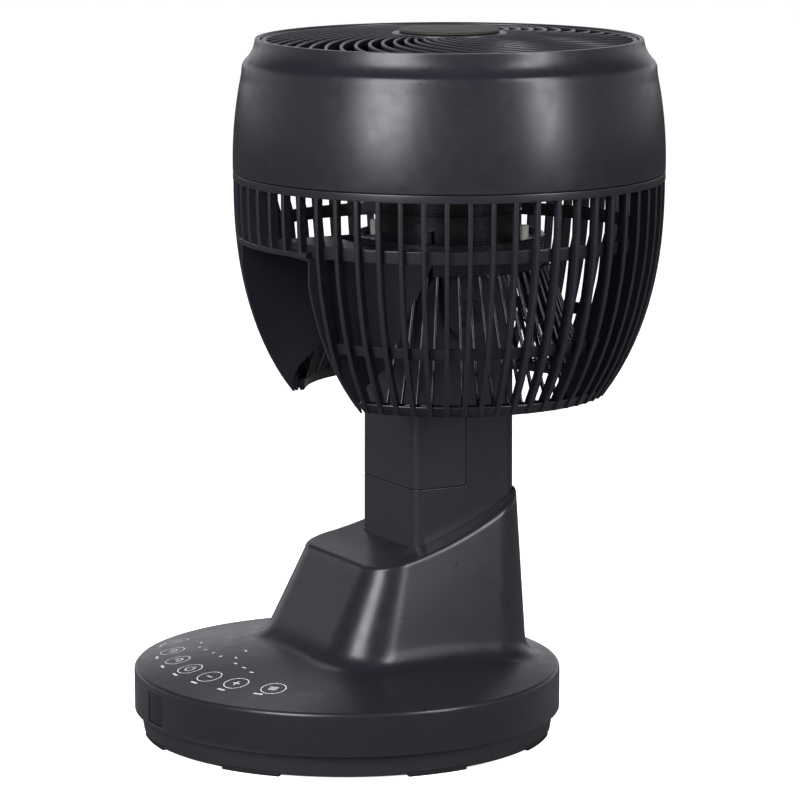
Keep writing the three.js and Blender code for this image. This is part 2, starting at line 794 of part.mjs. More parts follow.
function buildTiltDrive() {
  const outer = tiltGearInner - 1;
  const inner = outer - bracketThickness;
  const wheel = gear(tiltGearTeeth, pinRadius + seatGap, 0, tiltGearWidth)
    .rotate([0, 90, 0])
    .translate([tiltGearInner, 0, pivotHeight]);
  addPart(neck, 'tilt_gear', wheel, whiteNylon);
  const pinion = gear(tiltPinionTeeth, 0, 0, tiltGearWidth, Math.PI / tiltPinionTeeth)
    .rotate([0, 90, 0])
    .translate([tiltGearInner, 0, tiltPinionHeight]);
  const stemReach = tiltGearInner + 1;
  const stem = crossTube(0, tiltStemRadius, inner, stemReach, 0, tiltPinionHeight, 8);
  addPart(neck, 'tilt_pinion', pinion.add(stem), whiteNylon);
  const reach = neckDepth / 2 - neckWall - seatGap;
  const low = tiltPinionHeight - bracketHeight / 2;
  const plate = box(inner, outer, -reach, reach, low, low + bracketHeight);
  const stemHole = crossTube(0, tiltStemRadius + seatGap, 0, neckWidth, 0, tiltPinionHeight, 8);
  addPart(neck, 'tilt_bracket', plate.subtract(stemHole), steel);
  const face = inner - seatGap;
  const can = crossTube(0, tiltMotorRadius, face - tiltMotorLength, face, 0, tiltPinionHeight);
  addPart(neck, 'tilt_motor', can, steel);
}

// ---------------------------------------------------------------- head: shell and grille

// The straight taper that the shell's bowed side is drawn over.
function shellTaper(height) {
  const top = chamferHeight - shoulderDrop;
  const topRadius = chamferRadius + shoulderOut;
  return THREE.MathUtils.mapLinear(height, seamHeight, top, headRadius, topRadius);
}

function shellOutline(inset, steps) {
  const outline = [];
  for (let i = 0; i <= steps; i += 1) {
    const share = i / steps;
    const bulge = 4 * shellBulge * share * (1 - share);
    const height = THREE.MathUtils.lerp(seamHeight, chamferHeight - shoulderDrop, share);
    outline.push([shellTaper(height) + bulge - inset, height]);
  }
  outline.push([chamferRadius - inset, chamferHeight]);
  if (inset === 0) {
    const middle = (chamferRadius + lipRadius) / 2 - chamferHollow;
    outline.push([middle, (chamferHeight + lipHeight) / 2]);
  }
  outline.push([lipRadius - inset, lipHeight]);
  return outline;
}

function buildFrontShell() {
  const shell = ribRing([...shellOutline(0, 2), ...shellOutline(headWall, 1).reverse()], 2);
  addPart(head, 'front_shell', shell, charcoal);
}

function grilleHeight(radius) {
  const rim = lipRadius - headWall;
  const share = Math.min(radius / rim, 1);
  return lipHeight - 1.5 + grilleDome * (1 - share * share);
}

// One curved bar of the grille: an upright wedge that sweeps round as it runs outward.
function grilleBar(start) {
  const inner = hubRadius - 2;
  const outer = lipRadius - headWall - seatGap - grilleRim / 2;
  const steps = 3;
  const rings = [];
  for (let i = 0; i <= steps; i += 1) {
    const share = i / steps;
    const radius = THREE.MathUtils.lerp(inner, outer, share);
    const angle = start + degrees(grilleSweep) * share;
    const slope = degrees(grilleSweep) / (outer - inner);
    const heading = angle + Math.atan2(radius * slope, 1);
    const sideX = (-Math.sin(heading) * grilleBarThickness) / 2;
    const sideY = (Math.cos(heading) * grilleBarThickness) / 2;
    const x = radius * Math.cos(angle);
    const y = radius * Math.sin(angle);
    const top = grilleHeight(radius);
    const low = top - grilleDepth;
    rings.push([
      new THREE.Vector3(x, y, low),
      new THREE.Vector3(x + sideX, y + sideY, top),
      new THREE.Vector3(x - sideX, y - sideY, top),
    ]);
  }
  return loft(rings);
}

function buildGrille() {
  const outer = lipRadius - headWall - seatGap;
  const rimTop = lipHeight - 1;
  const rim = tube(outer - grilleRim, outer, rimTop - grilleDepth - 1.5, rimTop, grilleBars);
  const hubTop = grilleHeight(hubRadius);
  const hub = disc(hubRadius, hubTop - grilleDepth - 0.6, hubTop + 0.6, grilleBars)
    .rotate([0, 0, 180 / grilleBars]);
  const bars = [];
  for (let i = 0; i < grilleBars; i += 1) {
    bars.push(grilleBar((2 * Math.PI * i) / grilleBars));
  }
  addPart(head, 'front_grille', unite([rim, hub, ...bars]), charcoal);
}

function buildBadge() {
  const low = grilleHeight(hubRadius) + 0.6 + seatGap;
  const high = low + badgeThickness;
  const badge = revolve([
    [0, low],
    [badgeRadius, low],
    [badgeRadius, high - 0.6],
    [0, high],
  ], 36);
  addPart(head, 'grille_badge', badge, taupe);
}

// ---------------------------------------------------------------- head: rear guard

// The bowl's outer radius at a height under the plain band.
function bowlRadius(height) {
  const down = Math.max(bandBottom - height, 0) / (bandBottom - guardBottom);
  const footShare = 1 - guardFootInset / headRadius;
  return headRadius * Math.sqrt(1 - (1 - footShare * footShare) * down ** guardCurvePower);
}

// The ribs' outer edge runs straight between these heights of the bowl.
const ribHeights = [
  bandBottom + 1,
  ...bowlShares.map((share) => THREE.MathUtils.lerp(guardRingTop, bandBottom, share)),
  guardRingTop - 2,
];

function ribRadius(height) {
  const radii = ribHeights.map((z) => bowlRadius(z) - ribInset);
  const below = Math.max(ribHeights.findIndex((z) => z <= height), 1);
  const [high, low] = [ribHeights[below - 1], ribHeights[below]];
  return THREE.MathUtils.mapLinear(height, high, low, radii[below - 1], radii[below]);
}

// A rib in a plane through the axis, moulded with draft, so that it narrows to an edge on
// the inside. Each station is [outer radius, inner radius, z].
function meridianRib(stations, thickness, bearing) {
  const half = thickness / 2;
  const rings = stations.map(([outer, inner, z]) => [
    new THREE.Vector3(-half, -outer, z),
    new THREE.Vector3(half, -outer, z),
    new THREE.Vector3(0, -inner, z),
  ]);
  return loft(rings).rotate([0, 0, bearing]);
}

function slotBlock(halfWidth, top) {
  return box(-halfWidth, halfWidth, -2 * headRadius, 0, guardBottom - 20, top);
}

// The bearing, in degrees, at which a rib on this radius would meet the slot's side.
function slotBearing(radius) {
  return THREE.MathUtils.radToDeg(Math.asin((slotHalfWidth + slotWall + ribThickness) / radius));
}

// A wedge of space between two bearings, drawn in by half of a joint's gap on each side.
function wedge(from, to) {
  const inset = partingGap / 2 / Math.sin(degrees(to - from) / 2);
  const corner = (radius, bearing) => [
    radius * Math.sin(degrees(bearing)),
    -radius * Math.cos(degrees(bearing)),
  ];
  const shape = new THREE.Shape();
  const apex = corner(inset, (from + to) / 2);
  shape.moveTo(...apex);
  for (const share of [0, 0.5, 1]) {
    const [x, y] = corner(2 * headRadius, from + (to - from) * share);
    shape.lineTo(apex[0] + x, apex[1] + y);
  }
  shape.closePath();
  const geometry = new THREE.ExtrudeGeometry(shape, { depth: 2 * lipHeight, bevelEnabled: false });
  return solid(geometry);
}

// Adds a ring-shaped piece as sections that meet at the given bearings.
function addSections(name, whole, joints, material) {
  for (let i = 0; i + 1 < joints.length; i += 1) {
    const section = whole.intersect(wedge(joints[i], joints[i + 1]));
    addPart(head, `${name}_${i + 1}`, section, material);
  }
}

function buildGuard() {
  const hoopInner = (z) => ribRadius(z) - ribDepth - 0.4;
  const bandTop = seamHeight - partingGap;
  const spigotTop = seamHeight + spigotHeight;
  const spigot = shellTaper(spigotTop) - headWall - seatGap;
  const rings = [
    ribRing([
      [headRadius - bandThickness, bandBottom],
      [headRadius, bandBottom],
      [headRadius, bandTop],
      [spigot, bandTop],
      [spigot, spigotTop],
      [spigot - headWall, spigotTop],
      [headRadius - bandThickness, bandTop - headWall],
    ], 2),
  ];
  for (const [low, height] of [
    [upperHoopBottom, upperHoopHeight],
    [lowerHoopBottom, lowerHoopHeight],
  ]) {
    const high = low + height;
    rings.push(ribRing([
      [hoopInner(low), low],
      [hoopInner(low) + hoopWidth, low],
      [hoopInner(high) + hoopWidth, high],
      [hoopInner(high), high],
    ], 3));
  }
  const footOuter = bowlRadius(guardBottom);
  const topOuter = bowlRadius(guardRingTop);
  rings.push(ribRing([
    [footOuter - bottomRingWidth, guardBottom],
    [footOuter, guardBottom],
    [topOuter, guardRingTop],
    [topOuter - bottomRingWidth, guardRingTop],
  ], 2));

  const shortHeights = [ribHeights[0], upperHoopBottom + 0.6];
  const footDepth = bottomRingWidth - 2 * ribInset;
  const open = slotBearing(bowlRadius(upperHoopBottom));
  const ribs = [];
  for (let i = 0; i < ribCount; i += 1) {
    const bearing = (360 * i) / ribCount;
    const fromFront = Math.min(bearing, 360 - bearing);
    const heights = fromFront < open ? shortHeights : ribHeights;
    const stations = heights.map((z) => {
      const outer = ribRadius(z);
      return [outer, outer - (z < guardRingTop ? footDepth : ribDepth), z];
    });
    ribs.push(meridianRib(stations, ribThickness, bearing));
  }
  const whole = unite([...rings, ...ribs]);
  const slot = slotBlock(slotHalfWidth + slotWall + seatGap, slotTop);
  addSections('rear_guard', whole.subtract(slot), guardJoints, charcoal);
}

function buildCage() {
  const ringLow = cageTop - cageTopHeight;
  const ring = (inner, low, high, ribsPerFlat) => ribRing([
    [inner, low],
    [inner + cageRingWidth, low],
    [inner + cageRingWidth, high],
    [inner, high],
  ], ribsPerFlat);
  const topRing = ring(cageTopRadius, ringLow, cageTop, 3);
  const footRing = ring(cageBottomRadius - cageRingWidth, guardBottom, guardRingTop, 2);
  const ribs = [];
  const open = slotBearing(cageBottomRadius - cageRingWidth);
  for (let i = 0; i < ribCount; i += 1) {
    const bearing = (360 * i) / ribCount;
    if (Math.min(bearing, 360 - bearing) > open) {
      const outerTop = cageTopRadius + (cageRingWidth + cageRibDepth) / 2;
      const outerFoot = cageBottomRadius - (cageRingWidth - cageRibDepth) / 2;
      ribs.push(meridianRib([
        [outerTop, outerTop - cageRibDepth, ringLow + 0.5],
        [outerFoot, outerFoot - cageRibDepth, guardRingTop - 0.5],
      ], cageRibThickness, bearing));
    }
  }
  const slot = slotBlock(slotHalfWidth + slotWall + seatGap, slotTop);
  const whole = unite([topRing, footRing, ...ribs]).subtract(slot);
  addSections('inner_cage', whole, cageJoints, charcoal);
}

// The slot's side walls run from the bowl's outline in to the inner cage.
function buildSlot() {
  const cageRadius = (z) => THREE.MathUtils.mapLinear(
    z,
    guardBottom,
    cageTop,
    cageBottomRadius - cageRingWidth,
    cageTopRadius,
  );
  const middle = slotHalfWidth + slotWall / 2;
  const chord = (radius) => Math.sqrt(Math.max(radius * radius - middle * middle, 0));
  const top = slotTop - seatGap;
  const heights = slotWallShares.map((share) => THREE.MathUtils.lerp(guardBottom, top, share));
  const outer = heights.map((z) => [-Math.min(chord(bowlRadius(z)) - 0.5, slotFrontReach), z]);
  const inner = heights.map((z) => [-chord(cageRadius(z)), z]).reverse();
  const underMount = disc(mountRadius + seatGap, cageTop, top + 1, 24);
  const wall = sideProfile([...outer, ...inner], slotHalfWidth, slotHalfWidth + slotWall)
    .subtract(underMount);
  addPart(head, 'slot_wall_right', wall, charcoal);
  addPart(head, 'slot_wall_left', wall.rotate([0, 0, 180]).mirror([0, 1, 0]), charcoal);
  const ceilingHalf = slotHalfWidth - seatGap;
  const ceiling = box(-ceilingHalf, ceilingHalf, -slotFrontReach + 2, -mountRadius - 1, top - 2, top);
  addPart(head, 'slot_ceiling', ceiling, charcoal);
}

// ---------------------------------------------------------------- head: motor

function buildMotor() {
  const floor = mountBottom + mountThickness;
  const mount = revolve([
    [0, mountBottom],
    [mountRadius, mountBottom],
    [mountRadius, mountBottom + mountFlange],
    [mountRadius - mountRim, mountBottom + mountFlange],
    [mountRadius - mountRim, floor],
    [0, floor],
  ], 24);
  addPart(head, 'motor_mount', mount, charcoalGloss);
  const bore = shaftRadius + 0.4;
  const can = revolve([
    [bore, motorBottom],
    [motorRadius, motorBottom],
    [motorRadius, motorTop - 3],
    [motorRadius - 3, motorTop],
    [bore, motorTop],
  ], 20);
  addPart(head, 'motor_housing', can, charcoalGloss);
  const capLow = motorTop + seatGap;
  addPart(head, 'motor_cap', tube(bore, motorCapRadius, capLow, capLow + motorCapHeight, 16), steel);
  for (let i = 0; i < motorPosts; i += 1) {
    const angle = degrees(45 + (360 * i) / motorPosts);
    const circle = motorRadius + motorPostRadius + seatGap;
    const post = disc(motorPostRadius, floor + seatGap, floor + seatGap + motorPostHeight, 8)
      .translate([circle * Math.sin(angle), -circle * Math.cos(angle), 0]);
    addPart(head, `motor_post_${i + 1}`, post, whiteNylon);
  }
}

// ---------------------------------------------------------------- rotor

// One blade: a sheet that twists flatter from the hub to the tip. Its two faces are the same
// grid of points, a thickness apart, so they can't cross where the sheet twists.
function blade(start) {
  const grid = bladeStations.map((share) => {
    const radius = THREE.MathUtils.lerp(rotorHubRadius - 1, bladeTip, share);
    const chord = THREE.MathUtils.lerp(bladeRootChord, bladeTipChord, share);
    const pitch = degrees(THREE.MathUtils.lerp(bladeRootPitch, bladeTipPitch, share));
    const middle = start + degrees(bladeSkew) * share;
    return bladeChordShares.map((along) => {
      const rise = along * Math.sin(pitch) + bladeCamber * (1 - 4 * along * along);
      const angle = middle + (along * chord * Math.cos(pitch)) / radius;
      const height = bladeMiddle + rise * chord + bladeThickness / 2;
      return new THREE.Vector3(radius * Math.cos(angle), radius * Math.sin(angle), height);
    });
  });
  return sheet(grid, bladeThickness);
}

function buildRotor() {
  const bore = shaftRadius + seatGap;
  const hub = revolve([
    [bore, rotorTop - rotorFloor],
    [rotorHubRadius - rotorHubWall, rotorTop - rotorFloor],
    [rotorHubRadius - rotorHubWall, rotorBottom],
    [rotorHubRadius, rotorBottom],
    [rotorHubRadius, rotorTop - 4],
    [rotorHubRadius - 4, rotorTop],
    [bore, rotorTop],
  ], 20);
  const blades = [];
  for (let i = 0; i < bladeCount; i += 1) {
    blades.push(blade((2 * Math.PI * i) / bladeCount));
  }
  const inside = disc(rotorHubRadius - rotorHubWall, rotorBottom - 20, rotorTop - rotorFloor, 20);
  const trimmed = unite(blades).subtract(inside);
  addPart(head, 'fan_blades', hub.add(trimmed), charcoalGloss);
  const shaftLow = motorBottom + 1;
  const nutLow = rotorTop + seatGap;
  const nutTop = nutLow + nutHeight;
  addPart(head, 'motor_shaft', disc(shaftRadius, shaftLow, nutTop - shaftTip / 2, 12), steel);
  const nut = revolve([
    [shaftRadius + seatGap, nutLow],
    [nutRadius, nutLow],
    [nutRadius, nutTop - 2],
    [nutRadius - 2, nutTop],
    [shaftRadius + seatGap, nutTop],
  ], 12);
  addPart(head, 'spinner_nut', nut, charcoalGloss);
}

// ---------------------------------------------------------------- assembly

buildTray();
buildFeet();
buildSwivelSeat();
buildInlet();
buildBaseShell();
buildWindow();
buildSwivelPlate();
buildBoard();
buildSwivelDrive();
buildNeck();
buildHinge(1, 'right');
buildHinge(-1, 'left');
buildTiltDrive();
buildFrontShell();
buildGrille();
buildBadge();
buildGuard();
buildCage();
buildSlot();
buildMotor();
buildRotor();

export default fan;
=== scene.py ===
"""An air circulator fan with its head tipped up, dressed for the studio.

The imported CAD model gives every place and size. The moulded pieces that show are modelled
again here with their rounded edges and finished surfaces; the drive's inner pieces stay as
the CAD has them and get their materials. Sizes are in millimetres until a piece is published.
"""

import logging
import math
from collections.abc import Callable, Sequence
from dataclasses import dataclass, field
from enum import Enum

import bmesh
import bpy
from bmesh.types import BMEdge, BMesh, BMFace, BMVert
from mathutils import Matrix, Vector


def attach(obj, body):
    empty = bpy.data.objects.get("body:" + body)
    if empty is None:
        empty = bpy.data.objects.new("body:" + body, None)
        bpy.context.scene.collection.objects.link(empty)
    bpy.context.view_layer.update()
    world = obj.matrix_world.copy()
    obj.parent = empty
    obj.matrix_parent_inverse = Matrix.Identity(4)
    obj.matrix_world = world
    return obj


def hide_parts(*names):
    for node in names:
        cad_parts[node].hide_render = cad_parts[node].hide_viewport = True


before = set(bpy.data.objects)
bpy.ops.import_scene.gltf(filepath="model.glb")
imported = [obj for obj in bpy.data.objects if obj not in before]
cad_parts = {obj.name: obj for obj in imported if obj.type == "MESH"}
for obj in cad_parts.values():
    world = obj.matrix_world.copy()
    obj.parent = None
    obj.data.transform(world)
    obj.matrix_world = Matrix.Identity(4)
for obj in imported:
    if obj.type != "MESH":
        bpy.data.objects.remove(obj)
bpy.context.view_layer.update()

MM = 0.001
HEAD_AXIS = 32.9  # where the head's and the base's axes stand along Y
BASE_AXIS = -34.6
NECK_AXIS = 25.9
PIVOT_HEIGHT = 244.0
SLOT_HALF = 42.8  # from the middle plane to the ends of the ribs at the tilt slot
SLOT_TOP = 283.0
CLOUD_RANGE = (0.3, 0.7)  # what a noise pattern mostly stays within

log = logging.getLogger("fan")


class Body(Enum):
    """The CAD bodies that a piece can ride on."""

    FLOOR = "floor_base"
    STAND = "upper_stand"
    HEAD = "fan_head"
    ROTOR = "rotor"


class Slot(Enum):
    """The record's material slots."""

    CHARCOAL = "charcoal"
    GLOSS = "charcoal_gloss"
    TAUPE = "taupe"
    RUBBER = "rubber"
    SMOKED = "smoked"
    NYLON = "nylon"
    STEEL = "steel"


# ---------------------------------------------------------------- nodes and colours


def linear(code: str) -> tuple[float, float, float, float]:
    """Turns an sRGB hex colour to the linear values that shaders take.

    Args:
        code: Six hex digits, with or without a leading '#'.

    Returns:
        Red, green, blue and an alpha of 1.
    """
    digits = code.lstrip("#")
    parts = [int(digits[i : i + 2], 16) / 255 for i in (0, 2, 4)]
    lin = [c / 12.92 if c <= 0.04045 else ((c + 0.055) / 1.055) ** 2.4 for c in parts]
    return (lin[0], lin[1], lin[2], 1.0)


def add_node(
    tree: bpy.types.NodeTree,
    kind: str,
    settings: dict[str, object] | None = None,
    inputs: dict[str | int, object] | None = None,
) -> bpy.types.Node:
    """Adds a node, sets its properties, and fills or links its inputs.

    Args:
        tree: The node tree.
        kind: The node's type name.
        settings: Properties of the node itself.
        inputs: Values by input name or number; an output socket is linked.

    Returns:
        The new node.
    """
    node = tree.nodes.new(kind)
    for name, value in (settings or {}).items():
        setattr(node, name, value)
    for key, value in (inputs or {}).items():
        if isinstance(value, bpy.types.NodeSocket):
            tree.links.new(value, node.inputs[key])
        else:
            node.inputs[key].default_value = value
    return node


def blank_material(name: str) -> tuple[bpy.types.Material, bpy.types.NodeTree]:
    """Makes a material with an empty node tree.

    Args:
        name: The material's name.

    Returns:
        The material and its tree.
    """
    material = bpy.data.materials.new(name)
    material.use_nodes = True
    material.node_tree.nodes.clear()
    return material, material.node_tree


def noise(
    tree: bpy.types.NodeTree,
    coords: bpy.types.NodeSocket,
    width: float,
    detail: float,
    roughness: float = 0.5,
) -> bpy.types.NodeSocket:
    """Adds a cloudy pattern.

    Args:
        tree: The node tree.
        coords: Where the pattern is read.
        width: Width of one cloud, mm.
        detail: How many finer octaves it has.
        roughness: How strong each octave is.

    Returns:
        The pattern's value.
    """
    inputs = {"Vector": coords, "Scale": 1 / (width * MM), "Detail": detail, "Roughness": roughness}
    return add_node(tree, "ShaderNodeTexNoise", {}, inputs).outputs["Fac"]


def remapped(
    tree: bpy.types.NodeTree,
    value: bpy.types.NodeSocket,
    source: tuple[float, float],
    target: tuple[float, float],
    smooth: bool = False,
) -> bpy.types.NodeSocket:
    """Maps a value from one range to another, held to the second.

    Args:
        tree: The node tree.
        value: The value.
        source: The range it comes in.
        target: The range it goes out in.
        smooth: Whether it eases in and out.

    Returns:
        The mapped value.
    """
    names = ("From Min", "From Max", "To Min", "To Max")
    inputs = {"Value": value, **dict(zip(names, (*source, *target)))}
    settings = {"interpolation_type": "SMOOTHSTEP" if smooth else "LINEAR"}
    return add_node(tree, "ShaderNodeMapRange", settings, inputs).outputs["Result"]


def blended(
    tree: bpy.types.NodeTree, share: bpy.types.NodeSocket, low: object, high: object
) -> bpy.types.NodeSocket:
    """Mixes two colours.

    Args:
        tree: The node tree.
        share: How much of the second there is.
        low: The first colour, as values or a socket.
        high: The second.

    Returns:
        The mixed colour.
    """
    inputs = {"Factor": share, 6: low, 7: high}
    return add_node(tree, "ShaderNodeMix", {"data_type": "RGBA"}, inputs).outputs[2]


def finished(
    material: bpy.types.Material,
    height: bpy.types.NodeSocket,
    relief: float,
    inputs: dict[str | int, object],
) -> bpy.types.Material:
    """Ends a material with a bump and a principled shader.

    Args:
        material: The material.
        height: The pattern that stands out of the surface.
        relief: How far it stands out, mm.
        inputs: The shader's other inputs.

    Returns:
        The same material.
    """
    tree = material.node_tree
    bump = {"Height": height, "Strength": 1.0, "Distance": relief * MM}
    normal = add_node(tree, "ShaderNodeBump", {}, bump).outputs["Normal"]
    shader = add_node(tree, "ShaderNodeBsdfPrincipled", {}, {**inputs, "Normal": normal})
    add_node(tree, "ShaderNodeOutputMaterial", {}, {"Surface": shader.outputs["BSDF"]})
    return material


@dataclass(frozen=True)
class MouldedFinish:
    """A moulded or painted surface: a base colour with slight drift, a painted highlight on rounded
    edges, and a fine grain.

    Attributes:
        name: The finish's name, after the real material and process.
        colour: The surface's colour, sRGB hex.
        drift: The colour that the surface drifts towards in patches.
        edge: The colour of the painted highlight along rounded edges.
        roughness: Mean roughness.
        mottle: How far roughness varies each way.
        grain: Width of one grain of the texture, mm.
        relief: Height of the grain, mm.
        patch: Width of a patch of colour drift, mm.
        ior: Index of refraction.
        specular: The shader's specular level, 0.5 for a plain dielectric.
        metallic: 1 for bare metal.
        crest: The range of the mesh's pointiness over which an edge takes the painted highlight.
        edge_highlight: How far the edge's colour takes over on the sharpest crest.
        cloud: Width of the patches of roughness, in grains.
    """

    name: str
    colour: str
    drift: str
    edge: str
    roughness: float
    mottle: float = 0.04
    grain: float = 0.7
    relief: float = 0.02
    patch: float = 60.0
    ior: float = 1.5
    specular: float = 0.5
    metallic: float = 0.0
    crest: tuple[float, float] = (0.51, 0.62)
    # How strongly the painted edge highlight lightens the sharpest crests
    edge_highlight: float = 0.6
    cloud: float = 9

    def build(self) -> bpy.types.Material:
        """Makes the material.

        Returns:
            The node-based material.
        """
        material, tree = blank_material(self.name)
        coords = add_node(tree, "ShaderNodeTexCoord").outputs["Object"]
        patches = noise(tree, coords, self.patch, 3.0, 0.55)
        tint = blended(tree, patches, linear(self.colour), linear(self.drift))
        crest = add_node(tree, "ShaderNodeNewGeometry").outputs["Pointiness"]
        # Painted highlight: convex crests are lightened towards the edge colour, as if light caught
        # them
        edge_highlight_share = remapped(tree, crest, self.crest, (0.0, self.edge_highlight))
        clouds = noise(tree, coords, self.grain * self.cloud, 4.0)
        rough = (max(self.roughness - self.mottle, 0.02), self.roughness + self.mottle)
        inputs = {
            "Base Color": blended(tree, edge_highlight_share, tint, linear(self.edge)),
            "Roughness": remapped(tree, clouds, CLOUD_RANGE, rough),
            "IOR": self.ior,
            "Specular IOR Level": self.specular,
            "Metallic": self.metallic,
        }
        return finished(material, noise(tree, coords, self.grain, 2.0, 0.6), self.relief, inputs)


@dataclass(frozen=True)
class TurnedFinish:
    """A surface turned or brushed in rings about an upright axis.

    Attributes:
        name: The finish's name.
        colour: The surface's colour, sRGB hex.
        groove: The colour in the grooves.
        pitch: Distance from one ring of the pattern to the next, mm.
        roughness: Mean roughness.
        metallic: 1 for bare metal.
        relief: Height of the rings, mm.
        mottle: How far roughness varies each way.
        smear: Width of the patches of roughness, mm.
    """

    name: str
    colour: str
    groove: str
    pitch: float
    roughness: float
    metallic: float
    relief: float = 0.01
    mottle: float = 0.05
    smear: float = 9.0

    def build(self) -> bpy.types.Material:
        """Makes the material.

        Returns:
            The node-based material.
        """
        material, tree = blank_material(self.name)
        coords = add_node(tree, "ShaderNodeTexCoord").outputs["Object"]
        centred = add_node(
            tree,
            "ShaderNodeMapping",
            {"vector_type": "POINT"},
            {"Vector": coords, "Location": (0.0, -HEAD_AXIS * MM, 0.0)},
        )
        rings = add_node(
            tree,
            "ShaderNodeTexWave",
            {"wave_type": "RINGS", "rings_direction": "Z", "wave_profile": "SIN"},
            {
                "Vector": centred.outputs["Vector"],
                "Scale": math.pi / (10 * self.pitch * MM),
                "Distortion": 0.6,
                "Detail": 2.0,
                "Detail Scale": 1.5,
            },
        ).outputs["Fac"]
        rough = (self.roughness - self.mottle, self.roughness + self.mottle)
        inputs = {
            "Base Color": blended(tree, rings, linear(self.groove), linear(self.colour)),
            "Roughness": remapped(tree, noise(tree, coords, self.smear, 4.0), CLOUD_RANGE, rough),
            "Metallic": self.metallic,
        }
        return finished(material, rings, self.relief, inputs)


def made(finish: MouldedFinish | TurnedFinish) -> bpy.types.Material:
    """Returns a field that holds a finish's material, which is built with its owner."""
    return field(default_factory=finish.build)


@dataclass
class Finishes:
    """Every finish of the fan, made once.

    The colours are those of the photograph's plastics under a plain white light.
    """

    # ABS from a spark-eroded mould: a soft satin charcoal with a faint blue cast
    shell: bpy.types.Material = made(
        MouldedFinish(
            "ABS_spark_eroded_satin", "#232228", "#26252b", "#36353c", 0.31, grain=0.9, relief=0.008
        )
    )
    # Glass-filled polypropylene, straight from the mould: slightly deeper and flatter
    guard: bpy.types.Material = made(
        MouldedFinish(
            "polypropylene_moulded_satin", "#201f25", "#232228", "#302f36", 0.33, grain=0.8,
            relief=0.006,
        )
    )
    # ABS from a coarser mould: flatter, lighter and less blue than the shell above it
    tray: bpy.types.Material = made(
        MouldedFinish(
            "ABS_coarse_matt_mould", "#29282b", "#2d2b2e", "#383639", 0.5, grain=1.1, relief=0.02
        )
    )
    # ABS painted in a warm grey lacquer: flat, with the faintest rings
    badge: bpy.types.Material = made(
        TurnedFinish("ABS_warm_grey_lacquer", "#3a3430", "#352f2c", 0.9, 0.6, 0.0, 0.002)
    )
    # Polycarbonate smoked almost black: a dark patch that still takes a sheen
    window: bpy.types.Material = made(
        MouldedFinish(
            "polycarbonate_smoked", "#0b0b0d", "#0f0f12", "#17171b", 0.3, mottle=0.02, relief=0.001
        )
    )
    # Polypropylene from a polished mould: the cage's round ribs catch thin bright lines
    cage: bpy.types.Material = made(
        MouldedFinish(
            "polypropylene_polished_mould", "#141417", "#17171b", "#26262b", 0.2, mottle=0.03,
            relief=0.003,
        )
    )
    # Acetal, black as moulded: waxy and a little deeper than the mouldings round it
    black_acetal: bpy.types.Material = made(
        MouldedFinish(
            "acetal_black_moulded", "#141416", "#18181a", "#202024", 0.4, grain=1.2, relief=0.006,
            ior=1.48,
        )
    )
    # Acetal, white as moulded: the pale posts and gears
    acetal: bpy.types.Material = made(
        MouldedFinish(
            "acetal_natural_moulded", "#dedbd2", "#e6e4dc", "#efeee8", 0.45, grain=1.2, relief=0.01,
            ior=1.48,
        )
    )
    # Steel turned on a lathe: bright, in fine rings
    turned_steel: bpy.types.Material = made(
        TurnedFinish("steel_turned_bright", "#b6b7ba", "#8f9094", 0.8, 0.3, 1.0)
    )
    # Zinc-plated pressed steel: bright, in small uneven patches
    plated_steel: bpy.types.Material = made(
        MouldedFinish(
            "steel_zinc_plated", "#a9abad", "#bcbdb8", "#d2d3d3", 0.34, mottle=0.08, grain=1.5,
            relief=0.006, patch=8.0, metallic=1.0,
        )
    )
    # Steel under a black oxide: dark, with a painted highlight along its edges
    black_steel: bpy.types.Material = made(
        MouldedFinish(
            "steel_black_oxide", "#1b1b1d", "#222224", "#3a3a3d", 0.42, mottle=0.06, grain=1.2,
            relief=0.004, patch=6.0, metallic=0.6,
        )
    )
    # Nitrile rubber: matt, with no highlight to speak of
    rubber: bpy.types.Material = made(
        MouldedFinish(
            "nitrile_rubber_moulded", "#1a1a1b", "#1e1d1e", "#252526", 0.7, grain=1.4, relief=0.03,
            ior=1.52, specular=0.3,
        )
    )
    # Pale ink, pad-printed: near white and flat
    ink: bpy.types.Material = made(
        MouldedFinish(
            "ink_pale_pad_printed", "#f0f1f3", "#e4e5e8", "#ffffff", 0.6, grain=0.5, relief=0.002,
            patch=3.0,
        )
    )
    # ABS from a polished mould, for the rotor and the motor's covers: deep and glossy
    rotor: bpy.types.Material = made(
        MouldedFinish(
            "ABS_polished_mould", "#121214", "#151517", "#1f1f22", 0.26, mottle=0.03, relief=0.003
        )
    )
    # Glass epoxy board under green solder mask
    board: bpy.types.Material = made(
        MouldedFinish(
            "epoxy_board_solder_mask", "#1f4a33", "#235438", "#3b6b4d", 0.38, grain=1.0,
            relief=0.004, patch=14.0,
        )
    )


# ---------------------------------------------------------------- mesh helpers


def line(bm: BMesh, points: Sequence[Vector], closed: bool = False) -> list[BMEdge]:
    """Adds a line of a few vertices.

    Args:
        bm: The mesh.
        points: The line's points.
        closed: Whether the last point joins the first.

    Returns:
        The line's edges.
    """
    verts = [bm.verts.new(point) for point in points]
    pairs = list(zip(verts, verts[1:])) + ([(verts[-1], verts[0])] if closed else [])
    return [bm.edges.new(pair) for pair in pairs]


def verts_of(edges: Sequence[BMEdge]) -> list[BMVert]:
    """Returns the vertices of some edges, each once."""
    return list(dict.fromkeys(vert for edge in edges for vert in edge.verts))


